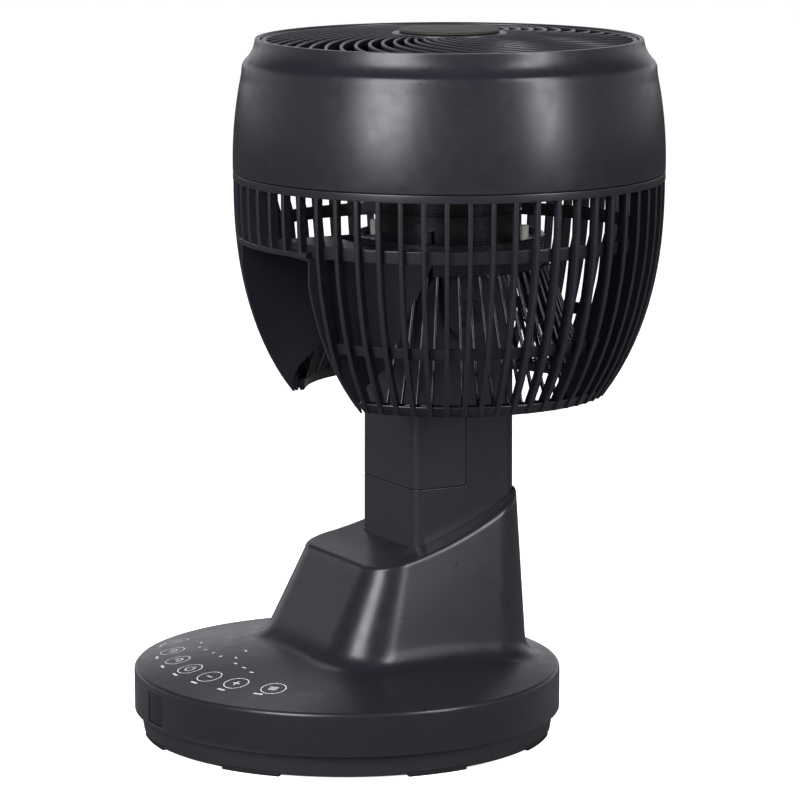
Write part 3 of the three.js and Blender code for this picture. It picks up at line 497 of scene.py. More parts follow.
def turned(
    outline: Sequence[tuple[float, float]],
    axis_y: float,
    steps: int = 120,
    closed: bool = True,
    start: float = 0.0,
    sweep: float = 360.0,
) -> BMesh:
    """Turns an outline about an upright axis.

    Args:
        outline: Points of radius and height.
        axis_y: Where the axis stands along Y.
        steps: Steps round the sweep.
        closed: Whether the outline closes on itself.
        start: Bearing of the sweep's start, degrees from the front.
        sweep: The sweep, degrees.

    Returns:
        The turned mesh.
    """
    bm = bmesh.new()
    edges = line(bm, [Vector((0, axis_y - r, z)) for r, z in outline], closed)
    centre = Vector((0, axis_y, 0))
    bmesh.ops.rotate(
        bm, cent=centre, matrix=Matrix.Rotation(math.radians(start), 3, "Z"), verts=bm.verts
    )
    full = sweep >= 360
    bmesh.ops.spin(
        bm,
        geom=verts_of(edges) + edges,
        cent=centre,
        axis=(0, 0, 1),
        dvec=(0, 0, 0),
        angle=math.radians(sweep),
        steps=steps,
        use_merge=full,
        use_duplicate=False,
    )
    bmesh.ops.remove_doubles(bm, verts=bm.verts, dist=1e-4)
    bmesh.ops.dissolve_degenerate(bm, edges=bm.edges, dist=1e-5)
    if closed and not full:
        close_holes(bm)
    return bm


def close_holes(bm: BMesh) -> None:
    """Fills every open boundary of a mesh."""
    rims = [edge for edge in bm.edges if edge.is_boundary]
    if rims:
        bmesh.ops.holes_fill(bm, edges=rims, sides=0)


def prism(outline: Sequence[Vector], along: Vector) -> BMesh:
    """Extrudes a flat closed outline.

    Args:
        outline: The outline's points, in order.
        along: The extrusion, as a vector.

    Returns:
        The closed solid.
    """
    bm = bmesh.new()
    edges = line(bm, outline, closed=True)
    face = bmesh.ops.contextual_create(bm, geom=edges)["faces"]
    grown = bmesh.ops.extrude_face_region(bm, geom=face)["geom"]
    bmesh.ops.translate(bm, vec=along, verts=[g for g in grown if isinstance(g, BMVert)])
    bmesh.ops.recalc_face_normals(bm, faces=bm.faces)
    return bm


def swept(section: Sequence[Vector], frames: Sequence[Matrix]) -> BMesh:
    """Carries a section along a row of frames, and closes both ends.

    Args:
        section: The section's points, in the frames' own XY plane.
        frames: Where the section stands, from the first end to the last.

    Returns:
        The closed solid.
    """
    bm = bmesh.new()
    edges = line(bm, [frames[0] @ point for point in section], closed=True)
    face = bmesh.ops.contextual_create(bm, geom=edges)["faces"]
    for here, there in zip(frames, frames[1:]):
        grown = bmesh.ops.extrude_face_region(bm, geom=face, use_keep_orig=True)["geom"]
        moved = [g for g in grown if isinstance(g, BMVert)]
        bmesh.ops.transform(bm, matrix=there @ here.inverted(), verts=moved)
        if here is not frames[0]:
            bmesh.ops.delete(bm, geom=face, context="FACES_ONLY")
        face = [g for g in grown if isinstance(g, BMFace)]
    bmesh.ops.recalc_face_normals(bm, faces=bm.faces)
    return bm


def skinned(rings: Sequence[Callable[[float], Vector]], columns: int) -> BMesh:
    """Draws an open skin through rings that each give a point for a bearing.

    Args:
        rings: The rings, from the inside out.
        columns: How many points each ring has.

    Returns:
        The open skin.
    """
    bm = bmesh.new()
    angles = [2 * math.pi * i / columns for i in range(columns)]
    bmesh.ops.create_circle(bm, cap_ends=False, radius=1, segments=columns)
    bm.verts.ensure_lookup_table()
    here = list(bm.verts)
    edges = list(bm.edges)
    for vert, angle in zip(here, angles):
        vert.co = rings[0](angle)
    for ring in rings[1:]:
        grown = bmesh.ops.extrude_edge_only(bm, edges=edges)["geom"]
        fresh = {g for g in grown if isinstance(g, BMVert)}
        edges = [g for g in grown if isinstance(g, BMEdge)]
        there = [
            next(e.other_vert(v) for e in v.link_edges if e.other_vert(v) in fresh) for v in here
        ]
        for vert, angle in zip(there, angles):
            vert.co = ring(angle)
        here = there
    return bm


def repeated(bm: BMesh, axis_y: float, count: int, pitch: float) -> BMesh:
    """Repeats a mesh round an upright axis.

    Args:
        bm: The mesh, which is changed.
        axis_y: Where the axis stands along Y.
        count: How many there are in all.
        pitch: Degrees from one to the next.

    Returns:
        The same mesh.
    """
    if count > 1:
        bmesh.ops.spin(
            bm,
            geom=bm.verts[:] + bm.edges[:] + bm.faces[:],
            cent=(0, axis_y, 0),
            axis=(0, 0, 1),
            dvec=(0, 0, 0),
            angle=math.radians(pitch * (count - 1)),
            steps=count - 1,
            use_duplicate=True,
        )
    return bm


def spun_to(bm: BMesh, axis_y: float, bearing: float) -> BMesh:
    """Turns a mesh about an upright axis by a bearing in degrees, and returns it.

    Args:
        bm: The mesh, which is changed.
        axis_y: Where the axis stands along Y.
        bearing: The turn, degrees.

    Returns:
        The same mesh.
    """
    turn = Matrix.Rotation(math.radians(bearing), 3, "Z")
    bmesh.ops.rotate(bm, cent=(0, axis_y, 0), matrix=turn, verts=bm.verts)
    return bm


def joined(parts: Sequence[BMesh]) -> BMesh:
    """Puts several meshes into one, and frees them.

    Args:
        parts: The meshes.

    Returns:
        One mesh that holds them all.
    """
    whole = bmesh.new()
    for part in parts:
        scratch = bpy.data.meshes.new("scratch")
        part.to_mesh(scratch)
        part.free()
        whole.from_mesh(scratch)
        bpy.data.meshes.remove(scratch)
    return whole


def soften(bm: BMesh, width: float, segments: int = 2, over: float = 35.0) -> BMesh:
    """Rounds every edge that turns more than an angle.

    Args:
        bm: The mesh, which is changed.
        width: How far the rounding reaches from the edge.
        segments: Steps across the rounding.
        over: Degrees that an edge must turn to be rounded.

    Returns:
        The same mesh.
    """
    sharp = [
        edge
        for edge in bm.edges
        if len(edge.link_faces) == 2 and edge.calc_face_angle(0.0) > math.radians(over)
    ]
    bevel(bm, sharp, width, segments)
    return bm


def bevel(bm: BMesh, edges: Sequence[BMEdge], width: float, segments: int) -> None:
    """Rounds the given edges.

    Args:
        bm: The mesh, which is changed.
        edges: The edges.
        width: How far the rounding reaches from the edge.
        segments: Steps across the rounding.
    """
    bmesh.ops.bevel(
        bm,
        geom=list(edges),
        offset=width,
        offset_type="OFFSET",
        affect="EDGES",
        segments=segments,
        profile=0.5,
        material=-1,
        clamp_overlap=True,
    )


def carved(bm: BMesh, cutter: BMesh) -> BMesh:
    """Cuts one closed mesh out of another.

    Args:
        bm: The mesh to cut.
        cutter: What is cut away.

    Returns:
        The cut mesh.
    """
    objects = []
    for name, part in (("whole", bm), ("cutter", cutter)):
        bmesh.ops.recalc_face_normals(part, faces=part.faces)
        mesh = bpy.data.meshes.new(name)
        part.to_mesh(mesh)
        part.free()
        objects.append(bpy.data.objects.new(name, mesh))
        bpy.context.scene.collection.objects.link(objects[-1])
    whole, tool = objects
    modifier = whole.modifiers.new("cut", "BOOLEAN")
    modifier.object = tool
    modifier.operation = "DIFFERENCE"
    modifier.solver = "EXACT"
    graph = bpy.context.evaluated_depsgraph_get()
    result = bmesh.new()
    result.from_mesh(whole.evaluated_get(graph).to_mesh())
    for item in objects:
        mesh = item.data
        bpy.data.objects.remove(item)
        bpy.data.meshes.remove(mesh)
    return result


def publish(
    bm: BMesh,
    name: str,
    body: Body,
    finish: bpy.types.Material,
    stands_for: Sequence[str] = (),
    wall: float = 0.0,
    edge: float = 0.0,
    smooth: float = 40.0,
) -> bpy.types.Object:
    """Makes a finished object of a mesh and sets it into the frame.

    Args:
        bm: The mesh, in millimetres; it is freed.
        name: The piece's name.
        body: The CAD body that it rides on.
        finish: Its material.
        stands_for: The CAD nodes that it replaces.
        wall: Wall thickness that an open skin gets on its inner side, or 0.
        edge: Rounding that its sharp edges get, or 0.
        smooth: Degrees above which an edge stays sharp.

    Returns:
        The object.
    """
    bmesh.ops.recalc_face_normals(bm, faces=bm.faces)
    if wall:
        face_out(bm)
    bmesh.ops.scale(bm, vec=(MM, MM, MM), verts=bm.verts)
    mesh = bpy.data.meshes.new(name)
    bm.to_mesh(mesh)
    bm.free()
    mesh.polygons.foreach_set("use_smooth", [True] * len(mesh.polygons))
    mesh.set_sharp_from_angle(angle=math.radians(smooth))
    mesh.materials.append(finish)
    piece = bpy.data.objects.new(name, mesh)
    bpy.context.scene.collection.objects.link(piece)
    if wall:
        solidify = piece.modifiers.new("wall", "SOLIDIFY")
        solidify.thickness = wall * MM
        solidify.offset = -1
        solidify.use_even_offset = True
    if edge:
        rounding = piece.modifiers.new("edge", "BEVEL")
        rounding.width = edge * MM
        rounding.segments = 2
        rounding.limit_method = "ANGLE"
        rounding.angle_limit = math.radians(smooth)
    weighted = piece.modifiers.new("normals", "WEIGHTED_NORMAL")
    weighted.keep_sharp = True
    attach(piece, body.value)
    if stands_for:
        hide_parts(*stands_for)
    log.info("%s: %d faces on %s", name, len(mesh.polygons), body.value)
    return piece


def face_out(bm: BMesh) -> None:
    """Turns an open skin's faces outwards, seen from the middle of its box.

    Args:
        bm: The skin, which is changed.
    """
    middle = sum((v.co for v in bm.verts), Vector()) / len(bm.verts)
    outward = sum(f.normal.dot(f.calc_center_median() - middle) * f.calc_area() for f in bm.faces)
    if outward < 0:
        bmesh.ops.reverse_faces(bm, faces=bm.faces)


def arc_points(
    centre: tuple[float, float], radius: float, start: float, end: float, steps: int
) -> list[tuple[float, float]]:
    """Points on an arc in a plane.

    Args:
        centre: The arc's centre.
        radius: Its radius.
        start: Its first angle, degrees.
        end: Its last angle, degrees.
        steps: Steps between them.

    Returns:
        The points, both ends included.
    """
    angles = [math.radians(start + (end - start) * i / steps) for i in range(steps + 1)]
    return [(centre[0] + radius * math.cos(a), centre[1] + radius * math.sin(a)) for a in angles]


def rounded_box(
    low: tuple[float, float], high: tuple[float, float], radius: float, steps: int = 3
) -> list[tuple[float, float]]:
    """The outline of a rectangle with round corners.

    Args:
        low: Its lowest corner.
        high: Its highest corner.
        radius: Its corners' radius.
        steps: Steps round each corner.

    Returns:
        The outline's points.
    """
    corners = [
        ((high[0] - radius, high[1] - radius), 0),
        ((low[0] + radius, high[1] - radius), 90),
        ((low[0] + radius, low[1] + radius), 180),
        ((high[0] - radius, low[1] + radius), 270),
    ]
    return [p for c, a in corners for p in arc_points(c, radius, a, a + 90, steps)]


def opened(
    bm: BMesh,
    planes: Sequence[tuple[Sequence[float], Sequence[float]]],
    near: Callable[[Vector], bool],
    gone: Callable[[Vector], bool],
) -> None:
    """Cuts faces along planes, and deletes those that lie in an opening.

    Args:
        bm: The mesh, which is changed.
        planes: A point and a normal for each plane.
        near: Whether a face with this middle is cut at all.
        gone: Whether a near face with this middle is deleted.
    """
    for place, way in planes:
        faces = [face for face in bm.faces if near(face.calc_center_median())]
        geom = list(dict.fromkeys(g for face in faces for g in (*face.verts, *face.edges, face)))
        bmesh.ops.bisect_plane(bm, geom=geom, dist=1e-4, plane_co=place, plane_no=way)
    middles = [(face, face.calc_center_median()) for face in bm.faces]
    faces = [face for face, middle in middles if near(middle) and gone(middle)]
    bmesh.ops.delete(bm, geom=faces, context="FACES")


def open_slot(bm: BMesh) -> BMesh:
    """Cuts the tilt slot's width out of a mesh's front, under the slot's top, and closes it.

    Args:
        bm: The mesh, which is changed.

    Returns:
        The same mesh.
    """
    opened(
        bm,
        [((side, 0, 0), (1, 0, 0)) for side in (-SLOT_HALF, SLOT_HALF)],
        lambda middle: middle.y < HEAD_AXIS,
        lambda middle: abs(middle.x) < SLOT_HALF and middle.z < SLOT_TOP,
    )
    close_holes(bm)
    return bm


def mirrored(bm: BMesh) -> BMesh:
    """Mirrors a mesh in the middle plane, and returns it."""
    bmesh.ops.scale(bm, vec=(-1, 1, 1), verts=bm.verts)
    return bm


def cross_drill(radius: float, depth: float, x: float, segments: int) -> BMesh:
    """Makes a drill along the tilt's axis.

    Args:
        radius: Its radius.
        depth: Its length.
        x: Where its middle is.
        segments: Steps round it.

    Returns:
        The closed cylinder.
    """
    bm = bmesh.new()
    place = Matrix.Translation((x, NECK_AXIS, PIVOT_HEIGHT)) @ Matrix.Rotation(math.pi / 2, 4, "Y")
    bmesh.ops.create_cone(
        bm, cap_ends=True, segments=segments, radius1=radius, radius2=radius, depth=depth,
        matrix=place,
    )
    return bm


# ---------------------------------------------------------------- head


@dataclass
class HeadForm:
    """The curves that the head's pieces share."""

    radius: float = 124.9
    seam: float = 322.7
    shoulder: tuple[float, float] = (119.8, 378.3)
    chamfer: tuple[float, float] = (117.8, 386.3)
    lip: tuple[float, float] = (111.3, 399.0)
    bulge: float = 1.6
    bowl_bottom: float = 193.0
    bowl_top: float = 317.7
    foot_radius: float = 91.1
    bowl_power: float = 2.3
    grille_radius: float = 108.9
    grille_sink: float = 1.5  # from the lip down to the grille's edge
    grille_crown: float = 4.2

    def side(self, height: float) -> float:
        """Returns the front shell's radius at a height under its shoulder.

        Args:
            height: The height.

        Returns:
            The radius.
        """
        share = (height - self.seam) / (self.shoulder[1] - self.seam)
        taper = self.radius + (self.shoulder[0] - self.radius) * share
        return taper + 4 * self.bulge * share * (1 - share)

    def bowl(self, height: float) -> float:
        """Returns the rear guard's radius at a height.

        Args:
            height: The height.

        Returns:
            The radius.
        """
        down = max(self.bowl_top - height, 0) / (self.bowl_top - self.bowl_bottom)
        foot = (self.foot_radius / self.radius) ** 2
        return self.radius * math.sqrt(max(1 - (1 - foot) * down**self.bowl_power, 0))

    def grille(self, radius: float) -> float:
        """Returns the height of the grille's domed top at a radius."""
        share = min(radius / self.grille_radius, 1)
        return self.lip[1] - self.grille_sink + self.grille_crown * (1 - share * share)


@dataclass
class FrontShell:
    """The drum's front moulding: a bowed side, a hollow chamfer and a thin raised lip."""

    form: HeadForm
    wall: float = 2.4
    hollow: float = 1.2
    steps: int = 200
    side_rows: int = 14
    hollow_rows: int = 8

    def outline(self) -> list[tuple[float, float]]:
        """Draws the wall's section.

        Returns:
            Points of radius and height, closed.
        """
        form = self.form
        bottom, top = form.seam, form.shoulder[1]
        rows = self.side_rows
        heights = [bottom + 0.7 + (top - bottom - 0.7) * i / rows for i in range(rows + 1)]
        outer = [(form.side(bottom) - 0.7, bottom), (form.side(bottom) - 0.2, bottom + 0.2)]
        outer += [(form.side(z), z) for z in heights]
        knee = (form.chamfer[0] + 1.6, form.chamfer[1] - 3.2)
        outer += [knee, (form.chamfer[0] + 0.6, form.chamfer[1] - 0.9)]
        low = Vector((form.chamfer[0] - 0.1, form.chamfer[1]))
        high = Vector((form.lip[0] + 0.5, form.lip[1] - 0.9))
        across = (high - low).orthogonal().normalized()
        if across.x > 0:
            across.negate()
        for i in range(self.hollow_rows + 1):
            share = i / self.hollow_rows
            point = low.lerp(high, share) + across * self.hollow * 4 * share * (1 - share)
            outer.append((point.x, point.y))
        outer += [(form.lip[0] + 0.2, form.lip[1] - 0.2), (form.lip[0] - 0.5, form.lip[1])]
        outer += [(form.lip[0] - 1.6, form.lip[1]), (form.lip[0] - 2.2, form.lip[1] - 0.5)]
        inner = [(form.lip[0] - 2.4, form.lip[1] - 1.2), (form.lip[0] - 2.4, form.lip[1] - 9)]
        inner += [(form.chamfer[0] - self.wall, form.chamfer[1] - 3)]
        inner += [(form.side(z) - self.wall, z) for z in reversed(heights[::3])]
        inner += [(form.side(bottom) - self.wall, bottom)]
        return outer + inner

    def build(self, finishes: Finishes) -> None:
        """Builds and dresses the shell.

        Args:
            finishes: The finishes.
        """
        bm = turned(self.outline(), HEAD_AXIS, self.steps)
        publish(
            bm, "FrontShell", Body.HEAD, finishes.shell, ["front_shell"], smooth=50
        )


@dataclass
class Grille:
    """The front grille: a rim, a hub and 45 bars that sweep round as they run outward."""

    form: HeadForm
    bars: int = 45
    bar_width: float = 2.0
    bar_depth: float = 5.5
    sweep: float = 52.0
    hub_radius: float = 33.0
    rim_radius: float = 108.4
    rim_width: float = 3.0
    badge_radius: float = 29.0
    rim_height: float = 7.0
    stations: int = 16  # along one bar

    def bar(self) -> BMesh:
        """Makes one bar, round on top, drafted underneath.

        Returns:
            The bar.
        """
        half = self.bar_width / 2
        top = [(x, y - half) for x, y in arc_points((0, 0), half, 0, 180, 6)]
        low = [(-half * 0.55, -self.bar_depth), (half * 0.55, -self.bar_depth)]
        section = [Vector((x, y, 0)) for x, y in top + low]
        inner, outer = self.hub_radius - 2, self.rim_radius - self.rim_width / 2
        frames = []
        for i in range(self.stations + 1):
            share = i / self.stations
            radius = inner + (outer - inner) * share
            angle = math.radians(self.sweep) * share
            turn = math.radians(self.sweep) / (outer - inner) * radius
            heading = angle + math.atan(turn)
            ahead = Vector((math.cos(heading), math.sin(heading), 0))
            side = Vector((math.sin(heading), -math.cos(heading), 0))
            place = Vector((radius * math.cos(angle), radius * math.sin(angle), 0))
            place += Vector((0, HEAD_AXIS, self.form.grille(radius)))
            turned_to = Matrix((side, (0, 0, 1), ahead)).transposed().to_4x4()
            frames.append(Matrix.Translation(place) @ turned_to)
        return swept(section, frames)

    def build(self, finishes: Finishes) -> None:
        """Builds and dresses the grille and its badge.

        Args:
            finishes: The finishes.
        """
        bars = repeated(self.bar(), HEAD_AXIS, self.bars, 360 / self.bars)
        rim_top = self.form.lip[1] - 1.0
        rim = turned(
            rounded_box(
                (self.rim_radius - self.rim_width, rim_top - self.rim_height),
                (self.rim_radius, rim_top),
                0.9,
            ),
            HEAD_AXIS,
            180,
        )
        top = self.form.grille(self.hub_radius)
        radius = self.hub_radius
        hub = turned(
            [(0, top - 6), (radius - 0.8, top - 6), (radius, top - 5.2), (radius, top - 0.2)]
            + [(radius - 0.3, top + 0.4), (radius - 0.9, top + 0.6), (0, top + 0.6)],
            HEAD_AXIS,
            120,
        )
        publish(
            joined([bars, rim, hub]),
            "FrontGrille",
            Body.HEAD,
            finishes.guard,
            ["front_grille"],
        )
        self.build_badge(finishes, top + 0.9)

    def build_badge(self, finishes: Finishes, low: float) -> None:
        """Builds the bare badge on the hub.

        Args:
            finishes: The finishes.
            low: The height of its underside.
        """
        radius, high = self.badge_radius, low + 2.2
        outline = [(0, low), (radius - 0.4, low), (radius, low + 0.4), (radius, high - 1.1)]
        outline += [(radius - 0.3, high - 0.75), (radius - 0.9, high - 0.6)]
        outline += [(radius * 0.5, high - 0.15), (0, high)]
        bm = turned(outline, HEAD_AXIS, 120)
        publish(bm, "HubBadge", Body.HEAD, finishes.badge, ["grille_badge"])


@dataclass
class RearGuard:
    """The drum's rear moulding: a band, 60 ribs that make a bowl, two hoops and a foot ring."""

    form: HeadForm
    ribs: int = 60
    rib_width: float = 2.6
    rib_inner_width: float = 1.2
    rib_depth: float = 8.0
    top_depth: float = 6.0  # over the upper hoop
    foot_depth: float = 3.4
    rib_inset: float = 0.2
    foot_inset: float = 1.6
    short_ribs: int = 7
    hoops: tuple[tuple[float, float], ...] = ((283.0, 7.4), (227.8, 6.6))
    hoop_width: float = 3.2
    foot_height: float = 6.4
    foot_width: float = 2.2
    band_depth: float = 9.4
    lip_height: float = 5.0
    station: float = 7.0  # along a rib

    def rib(self, foot: float) -> BMesh:
        """Makes the front rib, from the band down to a height.

        Args:
            foot: Where it ends.

        Returns:
            The rib.
        """
        half, inner = self.rib_width / 2, self.rib_inner_width / 2
        section = [(-half, 0.7), (-half * 0.72, 0.16), (-half * 0.3, 0), (half * 0.3, 0)]
        section += [(half * 0.72, 0.16), (half, 0.7), (inner, 1), (-inner, 1)]
        top = self.form.bowl_top + 1
        stations = max(int((top - foot) / self.station), 3)
        frames = []
        for i in range(stations + 1):
            z = top + (foot - top) * i / stations
            low = (z - self.form.bowl_bottom) / self.foot_height
            depth = self.foot_depth if low < 1 else self.rib_depth
            if z > sum(self.hoops[0]):
                depth = self.top_depth
            outer = self.form.bowl(z) - self.rib_inset
            place = Matrix.Translation((0, HEAD_AXIS - outer, z))
            frames.append(place @ Matrix.Diagonal((1, depth, 1, 1)))
        points = [Vector((x, y if y == 1 else y / self.rib_depth, 0)) for x, y in section]
        return swept(points, frames)

    def hoop(self, low: float, height: float) -> BMesh:
        """Makes a hoop behind the ribs.

        Args:
            low: Its lower edge.
            height: Its height.

        Returns:
            The hoop.
        """
        outline = []
        for x, z in rounded_box((0, low), (self.hoop_width, low + height), 0.6, 2):
            back = self.form.bowl(z) - self.rib_inset - self.rib_depth - 0.4
            outline.append((back + x, z))
        return turned(outline, HEAD_AXIS, 180)

    def build(self, finishes: Finishes) -> None:
        """Builds and dresses the guard.

        Args:
            finishes: The finishes.
        """
        pitch = 360 / self.ribs
        reach = (self.short_ribs - 1) / 2 * pitch
        short = repeated(
            spun_to(self.rib(SLOT_TOP + 0.6), HEAD_AXIS, -reach), HEAD_AXIS, self.short_ribs, pitch
        )
        long_count = self.ribs - self.short_ribs
        long = repeated(
            spun_to(self.rib(self.form.bowl_bottom + 0.5), HEAD_AXIS, reach + pitch),
            HEAD_AXIS,
            long_count,
            pitch,
        )
        foot = []
        for x, z in rounded_box(
            (-self.foot_width, self.form.bowl_bottom),
            (0, self.form.bowl_bottom + self.foot_height),
            1.0,
        ):
            foot.append((self.form.bowl(z) - self.foot_inset + x, z))
        rings = [turned(foot, HEAD_AXIS, 180), *(self.hoop(*hoop) for hoop in self.hoops)]
        cut = open_slot(joined([long, *rings]))
        publish(
            joined([cut, short, self.rail(), self.band()]),
            "RearGuard",
            Body.HEAD,
            finishes.guard,
            [f"rear_guard_{i}" for i in range(1, 7)],
        )

    def rail(self) -> BMesh:
        """Makes the rail that the short ribs end on, over the tilt slot.

        Returns:
            The rail.
        """
        outer = self.form.bowl(SLOT_TOP) - self.rib_inset
        half = math.degrees(math.asin(SLOT_HALF / outer))
        outline = rounded_box(
            (outer - self.top_depth, SLOT_TOP + 0.2), (outer + 0.1, SLOT_TOP + 3.6), 0.8
        )
        return turned(outline, HEAD_AXIS, 16, start=-half, sweep=2 * half)

    def band(self) -> BMesh:
        """Makes the plain band, with the lip that locates it inside the front shell.

        Returns:
            The band.
        """
        form = self.form
        low, high = form.bowl_top, form.seam - 0.3
        outer, inner = form.radius, form.radius - self.band_depth
        lip = form.side(form.seam + self.lip_height) - 2.7
        outline = [(inner, low + 0.4), (inner + 0.4, low), (outer - 0.8, low)]
        outline += [(outer - 0.2, low + 0.2), (outer, low + 0.8), (outer, high - 0.6)]
        outline += [(outer - 0.2, high - 0.15), (outer - 0.7, high), (lip, high)]
        outline += [(lip, form.seam + self.lip_height), (lip - 2.4, form.seam + self.lip_height)]
        outline += [(inner, high - 2.4)]
        return turned(outline, HEAD_AXIS, 200)


@dataclass
class InnerCage:
    """The cone of finer ribs round the neck, inside the bowl."""

    form: HeadForm
    ribs: int = 60
    top_radius: float = 52.0
    top: float = 279.4
    top_height: float = 12.0
    foot_radius: float = 84.0
    ring_width: float = 3.0
    rib_width: float = 2.2
    rib_depth: float = 2.6
    hoop_height: float = 226.0
    wire_radius: float = 1.1
    foot_height: float = 6.4
    open_ribs: int = 11  # how many are left out at the tilt slot

    def inner(self, height: float) -> float:
        """Returns the cone's inner radius at a height."""
        share = (height - self.form.bowl_bottom) / (self.top - self.form.bowl_bottom)
        return self.foot_radius + (self.top_radius - self.foot_radius) * share

    def build(self, finishes: Finishes) -> None:
        """Builds and dresses the cage.

        Args:
            finishes: The finishes.
        """
        half = self.rib_width / 2
        section = arc_points((0, half), half, 180, 360, 8)
        section += [(half * 0.5, self.rib_depth), (-half * 0.5, self.rib_depth)]
        points = [Vector((x, y, 0)) for x, y in section]
        frames = []
        for z in (self.top - self.top_height + 0.5, self.hoop_height, self.form.bowl_bottom + 5.9):
            outer = self.inner(z) + self.ring_width - 0.5
            frames.append(Matrix.Translation((0, HEAD_AXIS - outer, z)))
        pitch = 360 / self.ribs
        ribs = repeated(
            spun_to(swept(points, frames), HEAD_AXIS, pitch * (self.open_ribs + 1) / 2),
            HEAD_AXIS,
            self.ribs - self.open_ribs,
            pitch,
        )
        rings = []
        bottom, foot_top = self.form.bowl_bottom, self.form.bowl_bottom + self.foot_height
        for low, high, radius in (
            (self.top - self.top_height, self.top, self.top_radius),
            (bottom, foot_top, self.foot_radius),
        ):
            outline = rounded_box((radius, low), (radius + self.ring_width, high), 0.7, 2)
            rings.append(turned(outline, HEAD_AXIS, 120))
        hoop = self.inner(self.hoop_height) + 0.6
        wire = arc_points((hoop, self.hoop_height), self.wire_radius, 0, 330, 11)
        rings.append(turned(wire, HEAD_AXIS, 120))
        publish(
            open_slot(joined([ribs, *rings])),
            "InnerCage",
            Body.HEAD,
            finishes.cage,
            [f"inner_cage_{i}" for i in range(1, 6)],
        )


@dataclass
class TiltSlot:
    """The slot's two side walls and its ceiling."""

    form: HeadForm
    cage: InnerCage
    half: float = 40.5
    wall: float = 2.0
    front_reach: float = 113.5
    mount_radius: float = 55.8
    ceiling_back: float = 56.5
    rows: int = 18
    tip_height: float = 26.0  # over which each wall narrows to a point at its foot

    def build(self, finishes: Finishes) -> None:
        """Builds and dresses the walls and the ceiling.

        Args:
            finishes: The finishes.
        """
        middle = self.half + self.wall / 2
        bottom, top = self.form.bowl_bottom, SLOT_TOP - 0.3
        mount_bottom = self.cage.top

        def chord(radius: float) -> float:
            """Returns how far a circle reaches along Y at the wall's middle."""
            return math.sqrt(max(radius * radius - middle * middle, 0))

        front, back = [], []
        for i in range(self.rows + 1):
            z = bottom + (top - bottom) * i / self.rows
            reach = min(chord(self.form.bowl(z)) - 0.5, self.front_reach)
            front.append(Vector((self.half, HEAD_AXIS - reach, z)))
            if z < mount_bottom:
                inner = chord(self.cage.inner(z))
                tip = max(1 - (z - bottom) / self.tip_height, 0)
                back.append(Vector((self.half, HEAD_AXIS - inner - (reach - 1 - inner) * tip, z)))
        mount = chord(self.mount_radius)
        back += [Vector((self.half, HEAD_AXIS - mount, mount_bottom + 0.1))]
        back += [Vector((self.half, HEAD_AXIS - mount, top))]
        for side, label, node in ((1, "Right", "right"), (-1, "Left", "left")):
            bm = soften(prism(front + back[::-1], Vector((self.wall, 0, 0))), 0.5, 2, 60)
            if side < 0:
                mirrored(bm)
            publish(
                bm,
                f"SlotWall{label}",
                Body.HEAD,
                finishes.guard,
                [f"slot_wall_{node}"],
            )
        half = self.half - 0.3
        corners = [(-half, -self.front_reach + 2), (half, -self.front_reach + 2)]
        corners += [(half, -self.ceiling_back), (-half, -self.ceiling_back)]
        plan = [Vector((x, HEAD_AXIS + y, top - 2)) for x, y in corners]
        bm = soften(prism(plan, Vector((0, 0, 2))), 0.5)
        publish(bm, "SlotCeiling", Body.HEAD, finishes.guard, ["slot_ceiling"])


@dataclass
class MotorAssembly:
    """The motor on its dished mount, with its cap and the four posts that hold it."""

    mount_bottom: float = 279.7
    mount_radius: float = 55.5
    mount_rise: float = 6.4
    motor_bottom: float = 283.0
    motor_height: float = 36.0
    motor_radius: float = 42.0
    cap_radius: float = 30.0
    cap_height: float = 5.0
    shaft: float = 4.4
    post_radius: float = 2.6
    post_height: float = 9.0

    def build(self, finishes: Finishes) -> None:
        """Builds and dresses the mount, the motor, its cap and its posts.

        Args:
            finishes: The finishes.
        """
        low, radius, rise = self.mount_bottom, self.mount_radius, self.mount_rise
        mount = [(0, low), (radius - 1, low), (radius, low + 1), (radius, low + rise - 0.6)]
        mount += [(radius - 0.6, low + rise), (radius - 2, low + rise)]
        mount += [(radius - 2.6, low + rise - 0.6), (radius - 2.6, low + 4)]
        mount += [(radius - 3.6, low + 3), (0, low + 3)]
        bm = turned(mount, HEAD_AXIS, 96)
        publish(bm, "MotorMount", Body.HEAD, finishes.rotor, ["motor_mount"])
        low, high = self.motor_bottom, self.motor_bottom + self.motor_height
        can = [(self.shaft, low), (self.motor_radius - 1, low), (self.motor_radius, low + 1)]
        can += [(self.motor_radius, low + 17), (self.motor_radius - 0.6, low + 17.6)]
        can += [(self.motor_radius - 0.6, low + 18.4), (self.motor_radius, low + 19)]
        can += arc_points((self.motor_radius - 3, high - 3), 3, 0, 90, 5)
        can += [(self.shaft, high)]
        bm = turned(can, HEAD_AXIS, 96)
        publish(bm, "MotorHousing", Body.HEAD, finishes.rotor, ["motor_housing"])
        low = high + 0.3
        cap = rounded_box((self.shaft, low), (self.cap_radius, low + self.cap_height), 0.8)
        bm = turned(cap, HEAD_AXIS, 96)
        publish(bm, "MotorCap", Body.HEAD, finishes.turned_steel, ["motor_cap"])
        floor = self.mount_bottom + 3.3
        circle = self.motor_radius + self.post_radius + 0.3
        radius, top = self.post_radius, floor + self.post_height
        post = [(0, floor), (radius - 0.3, floor), (radius, floor + 0.3)]
        post += [(radius, top - 0.4), (radius - 0.4, top), (0, top)]
        for i in range(4):
            bm = turned(post, HEAD_AXIS, 24)
            bmesh.ops.translate(bm, vec=(0, -circle, 0), verts=bm.verts)
            spun_to(bm, HEAD_AXIS, 45 + 90 * i)
            publish(
                bm,
                f"MotorPost{i + 1}",
                Body.HEAD,
                finishes.acetal if i % 2 else finishes.black_acetal,
                [f"motor_post_{i + 1}"],
            )


